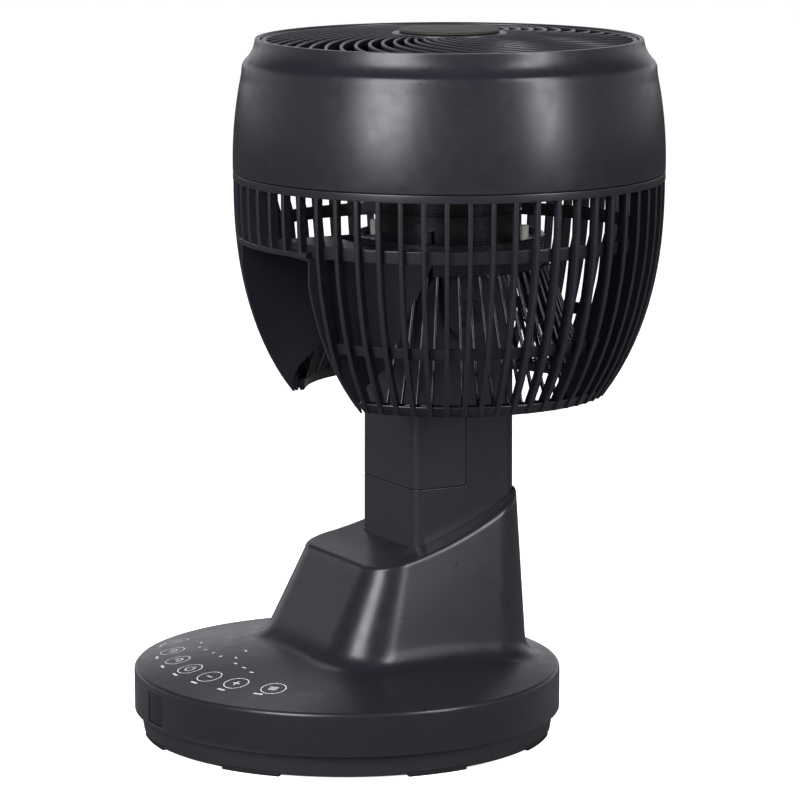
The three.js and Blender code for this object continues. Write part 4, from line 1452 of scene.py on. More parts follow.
@dataclass
class Rotor:
    """The five-bladed rotor, its shaft and its nut."""

    bottom: float = 328.3
    hub_radius: float = 31.0
    hub_height: float = 32.0
    hub_wall: float = 2.4
    floor: float = 3.0
    blades: int = 5
    tip: float = 105.7
    thickness: float = 2.2
    root_pitch: float = 42.0
    tip_pitch: float = 24.0
    root_chord: float = 40.0
    tip_chord: float = 74.0
    skew: float = 22.0
    bore: float = 4.3
    shaft_bottom: float = 284.0
    shaft_radius: float = 4.0
    nut_radius: float = 9.0
    nut_height: float = 7.0

    def blade(self) -> BMesh:
        """Makes one blade's middle sheet, twisted flatter towards its tip.

        Returns:
            The open sheet, with rounded corners at the tip.
        """
        bm = bmesh.new()
        bmesh.ops.create_grid(bm, x_segments=16, y_segments=22, size=0.5)
        middle = self.bottom + self.hub_height / 2
        for vert in bm.verts:
            along, share = vert.co.x, vert.co.y + 0.5
            round_off = 1 - 0.06 * (2 * abs(along)) ** 6
            radius = self.hub_radius - 1 + (self.tip - self.hub_radius + 1) * share * round_off
            chord = self.root_chord + (self.tip_chord - self.root_chord) * share
            pitch = math.radians(self.root_pitch + (self.tip_pitch - self.root_pitch) * share)
            camber = 0.06 * chord * (1 - 4 * along * along)
            run = along * chord * math.cos(pitch)
            angle = math.radians(self.skew) * share + run / radius
            rise = along * chord * math.sin(pitch) + camber
            vert.co = (
                radius * math.cos(angle),
                HEAD_AXIS + radius * math.sin(angle),
                middle + rise,
            )
        return bm

    def build(self, finishes: Finishes) -> None:
        """Builds and dresses the rotor, its shaft and its nut.

        Args:
            finishes: The finishes.
        """
        sheet = self.blade()
        bmesh.ops.recalc_face_normals(sheet, faces=sheet.faces)
        bmesh.ops.solidify(sheet, geom=sheet.faces[:], thickness=self.thickness)
        bmesh.ops.recalc_face_normals(sheet, faces=sheet.faces)
        blades = repeated(soften(sheet, 0.6, 2, 60), HEAD_AXIS, self.blades, 360 / self.blades)
        low, high = self.bottom, self.bottom + self.hub_height
        radius, inner = self.hub_radius, self.hub_radius - self.hub_wall
        hub = [(self.bore, high - self.floor), (inner, high - self.floor), (inner, low + 0.3)]
        hub += [(inner + 0.4, low), (radius - 0.4, low), (radius, low + 0.4)]
        hub += arc_points((radius - 4, high - 4), 4, 0, 90, 6) + [(self.bore, high)]
        publish(
            joined([blades, turned(hub, HEAD_AXIS, 96)]),
            "RotorBlades",
            Body.ROTOR,
            finishes.rotor,
            ["fan_blades"],
        )
        seat = high + 0.3
        top, low, radius = seat + self.nut_height - 2.5, self.shaft_bottom, self.shaft_radius
        shaft = [(0, low), (radius - 0.6, low), (radius, low + 0.6), (radius, top - 0.6)]
        bm = turned([*shaft, (radius - 0.6, top), (0, top)], HEAD_AXIS, 48)
        publish(bm, "MotorShaft", Body.ROTOR, finishes.turned_steel, ["motor_shaft"])
        high, radius = seat + self.nut_height, self.nut_radius
        nut = [(self.bore, seat), (radius, seat), *arc_points((radius - 2, high - 2), 2, 0, 90, 4)]
        bm = turned([*nut, (self.bore, high)], HEAD_AXIS, 48)
        publish(bm, "SpinnerNut", Body.ROTOR, finishes.rotor, ["spinner_nut"])


# ---------------------------------------------------------------- neck and hinge


@dataclass
class Neck:
    """The square neck with its round knuckle: a back column and a front cover."""

    width: float = 64.6
    depth: float = 67.7
    corner: float = 6.6
    wall: float = 2.6
    foot: float = 60.0
    cover_bottom: float = 143.0
    gap: float = 0.35
    bush_hole: float = 8.3
    draft: float = 0.0057  # how much wider each side gets per millimetre down

    def skin(self) -> BMesh:
        """Makes the neck's outer skin, open at the foot.

        Returns:
            The skin.
        """
        radius = self.depth / 2
        knuckle = arc_points((NECK_AXIS, PIVOT_HEIGHT), radius, 0, 180, 40)
        outline = [(NECK_AXIS + radius, self.foot), *knuckle, (NECK_AXIS - radius, self.foot)]
        points = [Vector((-self.width / 2, y, z)) for y, z in outline]
        bm = prism(points, Vector((self.width, 0, 0)))
        half = self.width / 2 - 1e-3
        rims = [
            edge
            for edge in bm.edges
            if all(abs(v.co.x) > half for v in edge.verts)
            and edge.verts[0].co.x * edge.verts[1].co.x > 0
            and not all(v.co.z < self.foot + 1e-3 for v in edge.verts)
        ]
        bevel(bm, rims, self.corner, 7)
        for vert in bm.verts:
            drop = max(PIVOT_HEIGHT - vert.co.z, 0)
            vert.co.x *= 1 + self.draft * drop / (self.width / 2)
        under = [f for f in bm.faces if f.calc_center_median().z < self.foot + 1e-2]
        bmesh.ops.delete(bm, geom=under, context="FACES")
        return bm

    def split(self, bm: BMesh, front: bool) -> BMesh:
        """Keeps the cover's or the column's share of the skin.

        Args:
            bm: The whole skin, which is changed.
            front: Whether the cover is kept.

        Returns:
            The same mesh.
        """
        half_gap = self.gap / 2
        y = NECK_AXIS - half_gap if front else NECK_AXIS + half_gap
        z = self.cover_bottom + half_gap if front else self.cover_bottom - half_gap
        for co, no in (((0, y, 0), (0, 1, 0)), ((0, 0, z), (0, 0, 1))):
            bmesh.ops.bisect_plane(
                bm,
                geom=bm.verts[:] + bm.edges[:] + bm.faces[:],
                dist=1e-4,
                plane_co=co,
                plane_no=no,
            )
        gone = []
        for face in bm.faces:
            centre = face.calc_center_median()
            in_cover = centre.y < y and centre.z > z
            if in_cover != front:
                gone.append(face)
        bmesh.ops.delete(bm, geom=gone, context="FACES")
        return bm

    def holed(self, bm: BMesh) -> BMesh:
        """Gives a skin its wall, and bores the bush holes through it.

        Args:
            bm: The skin.

        Returns:
            The closed, bored moulding.
        """
        bmesh.ops.recalc_face_normals(bm, faces=bm.faces)
        face_out(bm)
        bmesh.ops.solidify(bm, geom=bm.faces[:], thickness=self.wall)
        return carved(bm, cross_drill(self.bush_hole, self.width + 20, 0, 48))

    def build(self, finishes: Finishes) -> None:
        """Builds and dresses the column and its cover.

        Args:
            finishes: The finishes.
        """
        for front, name, node in (
            (False, "NeckColumn", "neck_column"),
            (True, "NeckCover", "neck_cover"),
        ):
            bm = soften(self.holed(self.split(self.skin(), front)), 0.35, 2, 70)
            publish(bm, name, Body.STAND, finishes.shell, [node])


@dataclass
class Hinge:
    """The tilt hinge: a bush in each side of the neck, a pin through it, and the head's ears."""

    pin_radius: float = 5.0
    bush_radius: float = 8.0
    flange_radius: float = 11.0
    neck_half: float = 32.3
    neck_wall: float = 2.6
    ear_inner: float = 34.0
    ear_thickness: float = 3.4
    ear_radius: float = 15.0
    ear_flare: float = 4.0
    ear_top: float = 279.4
    gear_inner: float = 16.0
    steps: int = 40

    def crossways(self, outline: Sequence[tuple[float, float]], side: int) -> BMesh:
        """Turns an outline about the pivot's axis.

        Args:
            outline: Points of radius and distance from the middle plane.
            side: 1 for the right side, -1 for the left.

        Returns:
            The turned mesh.
        """
        bm = turned(outline, 0.0, self.steps)
        tip = Matrix.Rotation(side * math.pi / 2, 4, "Y")
        place = Matrix.Translation((0, NECK_AXIS, PIVOT_HEIGHT)) @ tip
        bmesh.ops.transform(bm, matrix=place, verts=bm.verts)
        return bm

    def build(self, finishes: Finishes) -> None:
        """Builds and dresses both sides."""
        for side, label in ((1, "right"), (-1, "left")):
            self.build_side(finishes, side, label)

    def build_side(self, finishes: Finishes, side: int, label: str) -> None:
        """Builds one side of the hinge.

        Args:
            finishes: The finishes.
            side: 1 for the right side, -1 for the left.
            label: The side's name in the CAD.
        """
        bore = self.pin_radius + 0.15
        inner = self.neck_half - self.neck_wall - 2
        outer, top = self.neck_half + 0.3, self.ear_inner - 0.3
        bush = [(bore, inner), (self.bush_radius - 0.4, inner), (self.bush_radius, inner + 0.4)]
        bush += [(self.bush_radius, outer), (self.flange_radius - 0.3, outer)]
        bush += [(self.flange_radius, outer + 0.3), (self.flange_radius, top - 0.3)]
        bush += [(self.flange_radius - 0.3, top), (bore, top)]
        publish(
            self.crossways(bush, side), f"TiltBush_{label}", Body.STAND, finishes.black_acetal,
            [f"tilt_bush_{label}"],
        )
        start = self.gear_inner - 0.5 if side > 0 else self.neck_half - self.neck_wall - 4
        seat = self.ear_inner + self.ear_thickness + 0.3
        head = self.pin_radius + 3
        pin = [(0, start), (self.pin_radius - 0.4, start), (self.pin_radius, start + 0.4)]
        pin += [(self.pin_radius, seat), (head - 0.3, seat), (head, seat + 0.3)]
        pin += [(head, seat + 1.0), (head - 0.6, seat + 1.6), (2.6, seat + 1.6)]
        pin += [(2.3, seat + 0.9), (0, seat + 0.9)]
        publish(
            self.crossways(pin, side), f"TiltPin_{label}", Body.HEAD, finishes.black_steel,
            [f"tilt_pin_{label}"],
        )
        wide = self.ear_radius + self.ear_flare
        outline = [(-wide, self.ear_top)]
        outline += [(y, z) for y, z in arc_points((0, PIVOT_HEIGHT), self.ear_radius, 180, 360, 24)]
        outline += [(wide, self.ear_top)]
        points = [Vector((self.ear_inner, NECK_AXIS + y, z)) for y, z in outline]
        plate = soften(prism(points, Vector((self.ear_thickness, 0, 0))), 0.7, 3, 60)
        ear = carved(plate, cross_drill(self.pin_radius + 0.3, 20, self.ear_inner + 2, 40))
        if side < 0:
            mirrored(ear)
        publish(
            ear, f"TiltEar_{label}", Body.HEAD, finishes.guard, [f"tilt_ear_{label}"]
        )


# ---------------------------------------------------------------- base


@dataclass
class BaseShell:
    """The base's one-piece shell: skirt, rim, dome, pedestal housing and its sloped deck."""

    radius: float = 123.5
    skirt_bottom: float = 14.2
    skirt_top: float = 36.6
    rim_round: float = 2.4
    dome_rise: float = 13.5
    wall: float = 2.4
    housing_top: float = 140.0
    housing_foot: float = 42.6
    # Each at the top, and what it gains at the foot
    half_width: tuple[float, float] = (43.0, 13.0)
    front: tuple[float, float] = (57.0, 50.0)
    front_flare: tuple[float, float] = (0.0, 11.0)  # how much wider it is at its front
    back: tuple[float, float] = (28.4, 5.6)
    front_corner: tuple[float, float] = (12.0, 23.0)
    back_corner: tuple[float, float] = (18.0, 14.0)
    fillet: float = 10.0
    deck_edge: float = 3.6
    deck: tuple[float, float, float] = (102.5, 106.0, 139.0)
    deck_span: tuple[float, float] = (-78.0, 28.0)
    neck_half: tuple[float, float] = (33.6, 34.25)
    neck_corner: float = 7.0
    columns: int = 360
    window_half: float = 9.35
    window_low: float = 16.5
    window_high: float = 34.1
    window_front: float = 119.0  # the skirt lies further than this from the base's axis

    def dome(self, x: float, y: float) -> float:
        """Returns the dome's height over a point of the plan.

        Args:
            x: Across.
            y: Along.

        Returns:
            The height.
        """
        crown = self.radius - self.rim_round
        share = min(math.hypot(x, y - BASE_AXIS) / crown, 1)
        return self.skirt_top + self.rim_round + self.dome_rise * (1 - share * share)

    def deck_height(self, y: float) -> float:
        """Returns the deck's height at a distance along Y.

        Args:
            y: The distance along Y.

        Returns:
            The height.
        """
        start, end = self.deck_span
        t = (y - HEAD_AXIS - start) / (end - start)
        a, b, c = self.deck
        return (1 - t) ** 2 * a + 2 * t * (1 - t) * b + t * t * c

    def reach(self, angle: float, outline: Callable[[float, float], float]) -> float:
        """Finds how far an outline lies from the neck's axis along a bearing.

        Args:
            angle: The bearing, radians from +X.
            outline: Gives a signed distance outside the outline at a point of the plan.

        Returns:
            The distance.
        """
        near, far = 0.0, 260.0
        for _ in range(40):
            middle = (near + far) / 2
            x, y = middle * math.cos(angle), NECK_AXIS + middle * math.sin(angle)
            if outline(x, y) > 0:
                far = middle
            else:
                near = middle
        return near

    def box_distance(
        self,
        half: float,
        front: float,
        back: float,
        front_corner: float,
        back_corner: float,
        flare: float = 0.0,
    ) -> Callable[[float, float], float]:
        """Gives the signed distance outside a rounded rectangle in plan.

        Args:
            half: Half of its width.
            front: Y of its front.
            back: Y of its back.
            front_corner: Radius of its front corners.
            back_corner: Radius of its back corners.
            flare: How much further out each side is at the front.

        Returns:
            The distance as a function of x and y.
        """

        def outside(x: float, y: float) -> float:
            """Returns the signed distance outside the outline.

            Args:
                x: Across.
                y: Along.

            Returns:
                The distance, below zero inside.
            """
            middle = (front + back) / 2
            corner = front_corner if y < middle else back_corner
            ahead = min(max((back - y) / (back - front), 0), 1)
            dx = abs(x) - (half + flare * ahead - corner)
            dy = max(front + corner - y, y - back + corner)
            return math.hypot(max(dx, 0), max(dy, 0)) + min(max(dx, dy), 0) - corner

        return outside

    def housing(self, angle: float, height: float) -> float:
        """Finds how far the housing's side lies from the neck's axis.

        Args:
            angle: The bearing, radians from +X.
            height: The height.

        Returns:
            The distance.
        """
        down = (self.housing_top - height) / (self.housing_top - self.housing_foot)
        half, front, back, front_corner, back_corner, flare = (
            top + gain * down
            for top, gain in (
                self.half_width,
                self.front,
                self.back,
                self.front_corner,
                self.back_corner,
                self.front_flare,
            )
        )
        outline = self.box_distance(
            half, HEAD_AXIS - front, HEAD_AXIS + back, front_corner, back_corner, flare
        )
        return self.reach(angle, outline)

    def column(self, angle: float) -> list[Vector]:
        """Draws the skin's line along one bearing, from the neck's hole to the skirt's edge.

        Args:
            angle: The bearing, radians from +X.

        Returns:
            The line's points.
        """
        ahead = Vector((math.cos(angle), math.sin(angle), 0))
        centre = Vector((0, NECK_AXIS, 0))
        half_x, half_y = self.neck_half
        hole = self.reach(
            angle,
            self.box_distance(
                half_x, NECK_AXIS - half_y, NECK_AXIS + half_y, self.neck_corner, self.neck_corner
            ),
        )
        edge_height = 120.0
        for _ in range(6):
            edge = self.housing(angle, edge_height)
            edge_height = self.deck_height((centre + ahead * edge).y)
        radius = min(self.deck_edge, (edge - hole) * 0.8)
        points = []
        for share in (0.0, 0.25, 0.5, 0.75, 1.0):
            reach = hole + (edge - radius - hole) * share
            at = centre + ahead * reach
            points.append(at + Vector((0, 0, self.deck_height(at.y))))
        level = self.deck_height((centre + ahead * (edge - radius)).y)
        for i in range(1, 6):
            turn = math.pi / 2 * i / 5
            reach = edge - radius + radius * math.sin(turn)
            drop = radius * (1 - math.cos(turn))
            points.append(centre + ahead * reach + Vector((0, 0, level - drop)))
        top = level - radius
        foot = self.foot_point(angle)
        fillet = self.fillet_at(angle, foot)
        bottom = foot[1] + fillet
        for i in range(1, 9):
            z = top + (bottom - top) * i / 8
            reach = self.housing(angle, z) - self.housing(angle, top) + edge
            points.append(centre + ahead * reach + Vector((0, 0, z)))
        wall = self.housing(angle, bottom) - self.housing(angle, top) + edge
        corner = self.housing(angle, foot[1]) - self.housing(angle, top) + edge
        out = corner + fillet
        at = centre + ahead * out
        start, knee = Vector((wall, bottom)), Vector((corner, foot[1]))
        end = Vector((out, self.dome(at.x, at.y)))
        for i in range(1, 8):
            t = i / 7
            p = start * (1 - t) ** 2 + knee * 2 * t * (1 - t) + end * t * t
            points.append(centre + ahead * p.x + Vector((0, 0, p.y)))
        points += self.rim_line(ahead, centre, out)
        return points

    def foot_point(self, angle: float) -> tuple[float, float]:
        """Finds where the housing's side would meet the dome without its fillet.

        Args:
            angle: The bearing, radians from +X.

        Returns:
            The distance from the neck's axis and the height.
        """
        height = self.housing_foot
        reach = 0.0
        for _ in range(5):
            reach = self.housing(angle, height)
            height = self.dome(reach * math.cos(angle), NECK_AXIS + reach * math.sin(angle))
        return reach, height

    def fillet_at(self, angle: float, foot: tuple[float, float]) -> float:
        """Returns the fillet's reach, which is held to the room before the rim."""
        rim = self.reach(angle, self.circle(self.radius - self.rim_round))
        return min(self.fillet, 0.7 * (rim - foot[0]))

    def circle(self, radius: float) -> Callable[[float, float], float]:
        """Gives the signed distance outside a circle about the base's axis."""
        return lambda x, y: math.hypot(x, y - BASE_AXIS) - radius

    def rim_line(self, ahead: Vector, centre: Vector, out: float) -> list[Vector]:
        """Draws the dome outside the fillet, the rounded rim and the skirt.

        Args:
            ahead: The bearing's direction in plan.
            centre: The neck's axis in plan.
            out: How far the fillet reaches from it.

        Returns:
            The points.
        """
        angle = math.atan2(ahead.y, ahead.x)
        crown = self.radius - self.rim_round
        rim = self.reach(angle, self.circle(crown))
        points = []
        for i in range(1, 8):
            at = centre + ahead * (out + (rim - out) * i / 7)
            points.append(at + Vector((0, 0, self.dome(at.x, at.y))))
        at = centre + ahead * rim
        away = Vector((at.x, at.y - BASE_AXIS, 0)).normalized()
        for i in range(1, 6):
            turn = math.pi / 2 * i / 5
            step = away * self.rim_round * math.sin(turn)
            drop = self.rim_round * (1 - math.cos(turn))
            points.append(at + step + Vector((0, 0, self.skirt_top + self.rim_round - drop)))
        for z in (33.0, 28.0, 22.0, 16.5, self.skirt_bottom):
            points.append(at + away * self.rim_round + Vector((0, 0, z)))
        return points

    def skin(self) -> BMesh:
        """Makes the open outer skin.

        Returns:
            The skin.
        """
        lines: dict[float, list[Vector]] = {}

        def point(angle: float, row: int) -> Vector:
            """Returns a row's point on a bearing, each bearing's line being drawn once.

            Args:
                angle: The bearing, radians.
                row: Which ring of the skin.

            Returns:
                The point.
            """
            key = round(angle, 9)
            if key not in lines:
                lines[key] = self.column(angle)
            return lines[key][row]

        rows = len(self.column(0.0))
        rings = [lambda angle, row=row: point(angle, row) for row in range(rows)]
        return skinned(rings, self.columns)

    def cut_window(self, bm: BMesh) -> None:
        """Opens the skirt where the receiver's window sits.

        Args:
            bm: The skin, which is changed.
        """
        sides = [((x, 0, 0), (1, 0, 0)) for x in (-self.window_half, self.window_half)]
        levels = [((0, 0, z), (0, 0, 1)) for z in (self.window_low, self.window_high)]
        opened(
            bm,
            sides + levels,
            lambda middle: middle.y < BASE_AXIS - self.window_front,
            lambda middle: abs(middle.x) < self.window_half
            and self.window_low < middle.z < self.window_high,
        )

    def build(self, finishes: Finishes) -> None:
        """Builds and dresses the shell and its window.

        Args:
            finishes: The finishes.
        """
        bm = self.skin()
        self.cut_window(bm)
        publish(
            bm, "BaseShell", Body.STAND, finishes.shell, ["base_shell"],
            wall=self.wall, edge=0.35, smooth=42,
        )
        outline = rounded_box((self.radius - 2.6, 16.8), (self.radius - 0.3, 33.8), 0.3, 2)
        pane = turned(outline, BASE_AXIS, 8, start=-4.2, sweep=8.4)
        publish(pane, "ReceiverWindow", Body.STAND, finishes.window, ["ir_window"])


@dataclass
class KeyMarks:
    """Generic touch-key marks printed on the dome: rings, plain signs and lamps."""

    shell: BaseShell
    ring_outer: float = 7.4
    ring_line: float = 0.65
    lift: float = 0.05
    stroke: float = 0.9
    keys: tuple[tuple[float, float, str], ...] = (
        (-81.9, -70.7, "dot"),
        (-56.7, -85.3, "arc"),
        (-32.6, -93.4, "arc"),
        (-9.1, -96.9, "power"),
        (13.5, -95.6, "minus"),
        (35.1, -89.4, "plus"),
        (56.5, -76.8, "waves"),
    )
    lamps: tuple[tuple[float, float], ...] = (
        (-47.1, -72.5), (-37.4, -73.1), (-25.8, -73.8), (-15.0, -74.4),
    )
    dashes: tuple[tuple[float, float], ...] = (
        (-80.8, -81.2), (-52.0, -97.5), (-29.4, -104.7), (-7.7, -107.1), (14.7, -106.0),
        (37.0, -99.9), (57.5, -87.0),
    )
    ticks: tuple[tuple[float, float], ...] = (
        (-57.2, -66.5), (-12.7, -59.4), (-4.8, -69.7), (5.1, -74.9), (15.8, -74.8), (26.1, -75.3),
    )

    def band(self, inner: float, outer: float, start: float = 0.0, sweep: float = 360.0) -> BMesh:
        """Makes a flat ring or arc at the plan's origin.

        Args:
            inner: Its inner radius.
            outer: Its outer radius.
            start: Its first bearing, degrees.
            sweep: How far it runs, degrees.

        Returns:
            The flat mesh.
        """
        return turned([(inner, 0), (outer, 0)], 0.0, 32, closed=False, start=start, sweep=sweep)

    def bar(self, length: float, width: float, turn: float = 0.0) -> BMesh:
        """Makes a flat bar at the plan's origin.

        Args:
            length: Its length.
            width: Its width.
            turn: Its direction, degrees from +X.

        Returns:
            The flat mesh.
        """
        bm = bmesh.new()
        size = Matrix.Diagonal((length, width, 1, 1))
        matrix = Matrix.Rotation(math.radians(turn), 4, "Z") @ size
        bmesh.ops.create_grid(bm, x_segments=4, y_segments=1, size=0.5, matrix=matrix)
        return bm

    def sign(self, kind: str) -> list[BMesh]:
        """Makes the plain sign inside a key.

        Args:
            kind: Which sign.

        Returns:
            Its flat parts.
        """
        if kind == "dot":
            return [self.band(2.2, 2.8), self.band(0.0, 0.7)]
        if kind == "arc":
            return [self.band(2.4, 3.3, 60, 240), self.bar(2.4, self.stroke, 40)]
        if kind == "power":
            stem = self.bar(2.6, self.stroke, 90)
            bmesh.ops.translate(stem, vec=(0, 2.6, 0), verts=stem.verts)
            return [self.band(2.4, 3.3, 215, 290), stem]
        if kind == "minus":
            return [self.bar(5.0, self.stroke)]
        if kind == "plus":
            return [self.bar(5.0, self.stroke), self.bar(5.0, self.stroke, 90)]
        parts = []
        for row in (-1.6, 0.0, 1.6):
            wave = self.bar(5.2, self.stroke)
            bmesh.ops.translate(wave, vec=(0, row, 0), verts=wave.verts)
            parts.append(wave)
        return parts

    def build(self, finishes: Finishes) -> None:
        """Builds and dresses the marks.

        Args:
            finishes: The finishes.
        """
        parts = []
        for x, y, kind in self.keys:
            marks = [self.band(self.ring_outer - self.ring_line, self.ring_outer), *self.sign(kind)]
            facing = math.degrees(math.atan2(x, -y))
            for mark in marks:
                spun_to(mark, 0.0, facing)
                bmesh.ops.translate(mark, vec=(x, y, 0), verts=mark.verts)
            parts += marks
        for x, y in self.lamps:
            dot = self.band(0.0, 1.0)
            bmesh.ops.translate(dot, vec=(x, y, 0), verts=dot.verts)
            parts.append(dot)
        for spots, length, width in ((self.dashes, 5.6, 1.5), (self.ticks, 3.4, 1.1)):
            for x, y in spots:
                dash = spun_to(self.bar(length, width), 0.0, math.degrees(math.atan2(x, -y)))
                bmesh.ops.translate(dash, vec=(x, y, 0), verts=dash.verts)
                parts.append(dash)
        bm = joined(parts)
        bmesh.ops.translate(bm, vec=(0, BASE_AXIS, 0), verts=bm.verts)
        for vert in bm.verts:
            vert.co.z = self.shell.dome(vert.co.x, vert.co.y) + self.lift
        for face in bm.faces:
            face.normal_update()
        down = [face for face in bm.faces if face.normal.z < 0]
        bmesh.ops.reverse_faces(bm, faces=down)
        publish(bm, "KeyMarks", Body.STAND, finishes.ink)


@dataclass
class FloorTray:
    """The tray that the stand swings on, and its eight rubber feet."""

    radius: float = 120.0
    taper: float = 1.8
    wall: float = 2.4
    bottom: float = 2.8
    skirt: float = 1.3  # how high the outer wall's lower edge is
    skirt_width: float = 9.6
    top: float = 13.6
    post: tuple[float, float, float] = (8.5, 12.0, 25.0)  # bore, radius and top
    gear_seat: float = 8.2
    bearing: tuple[float, float, float] = (56.0, 68.0, 14.8)  # seat's radii and top
    inlet_half: float = 7.8
    inlet_depth: float = 12.0
    feet: tuple[float, ...] = (26.7, 70.7)
    heading: float = 61.0
    foot_arc: float = 17.5
    foot_width: float = 9.0
    foot_height: float = 2.5

    def outline(self) -> list[tuple[float, float]]:
        """Draws the tray's section.

        Returns:
            Points of radius and height.
        """
        bore, post, post_top = self.post
        seat_in, seat_out, seat_top = self.bearing
        floor = self.bottom + self.wall
        foot = self.radius - self.taper
        points = [(bore, self.bottom), (foot - self.skirt_width, self.bottom)]
        points += [(foot - self.skirt_width, self.skirt), (foot - 0.7, self.skirt)]
        points += [(foot - 0.2, self.skirt + 0.2), (foot, self.skirt + 0.7)]
        points += [(self.radius - 0.1, self.top - 0.8)]
        points += [(self.radius - 0.3, self.top - 0.2), (self.radius - 0.9, self.top)]
        inner = self.radius - self.wall
        points += [(inner, self.top), (inner - self.taper, floor), (seat_out, floor)]
        points += [(seat_out, seat_top), (seat_in, seat_top), (seat_in, self.gear_seat)]
        points += [(post, self.gear_seat), (post, post_top - 0.8), (post - 0.8, post_top)]
        points += [(bore, post_top)]
        return points

    def build(self, finishes: Finishes) -> None:
        """Builds and dresses the tray and its feet.

        Args:
            finishes: The finishes.
        """
        dish = turned(self.outline(), BASE_AXIS, 180)
        low, high = self.bottom + self.wall, self.top + 1
        near = BASE_AXIS + self.radius - self.inlet_depth
        points = [
            Vector((x, y, low))
            for x, y in (
                (-self.inlet_half, near),
                (self.inlet_half, near),
                (self.inlet_half, near + 20),
                (-self.inlet_half, near + 20),
            )
        ]
        cutters = [prism(points, Vector((0, 0, high - low)))]
        bearings = sorted(b for a in self.feet for b in (a, -a, 180 - a, 180 + a))
        outer = self.radius - self.taper
        room = self.foot_arc + 0.5
        for bearing in bearings:
            start = self.heading + bearing - room / 2
            outline = [(outer - self.foot_width - 0.3, -1), (outer + 5, -1)]
            outline += [(outer + 5, self.bottom), (outer - self.foot_width - 0.3, self.bottom)]
            cutters.append(turned(outline, BASE_AXIS, 12, start=start, sweep=room))
        for cutter in cutters:
            dish = carved(dish, cutter)
        publish(dish, "FloorTray", Body.FLOOR, finishes.tray, ["base_tray"])
        for i, bearing in enumerate(bearings):
            outline = rounded_box((outer - self.foot_width, 0), (outer, self.foot_height), 0.5)
            start = self.heading + bearing - self.foot_arc / 2
            foot = turned(outline, BASE_AXIS, 12, start=start, sweep=self.foot_arc)
            publish(
                foot, f"FootPad_{i + 1}", Body.FLOOR, finishes.rubber,
                [f"foot_pad_{i + 1}"],
            )


def dress_inner_nodes(finishes: Finishes) -> None:
    """Gives the CAD nodes that stay their materials.

    Args:
        finishes: The finishes.
    """
    chosen = {
        "swivel_bearing": finishes.acetal,
        "swivel_gear": finishes.acetal,
        "swivel_pinion": finishes.acetal,
        "tilt_gear": finishes.acetal,
        "tilt_pinion": finishes.acetal,
        "retaining_clip": finishes.plated_steel,
        "swivel_motor": finishes.plated_steel,
        "tilt_motor": finishes.plated_steel,
        "tilt_bracket": finishes.plated_steel,
        "power_inlet": finishes.window,
        "swivel_plate": finishes.guard,
        "control_board": finishes.board,
    }
    for name, material in chosen.items():
        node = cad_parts[name]
        for material_slot in node.material_slots:
            material_slot.material = material
        log.info("%s keeps its CAD form", name)


# ---------------------------------------------------------------- studio


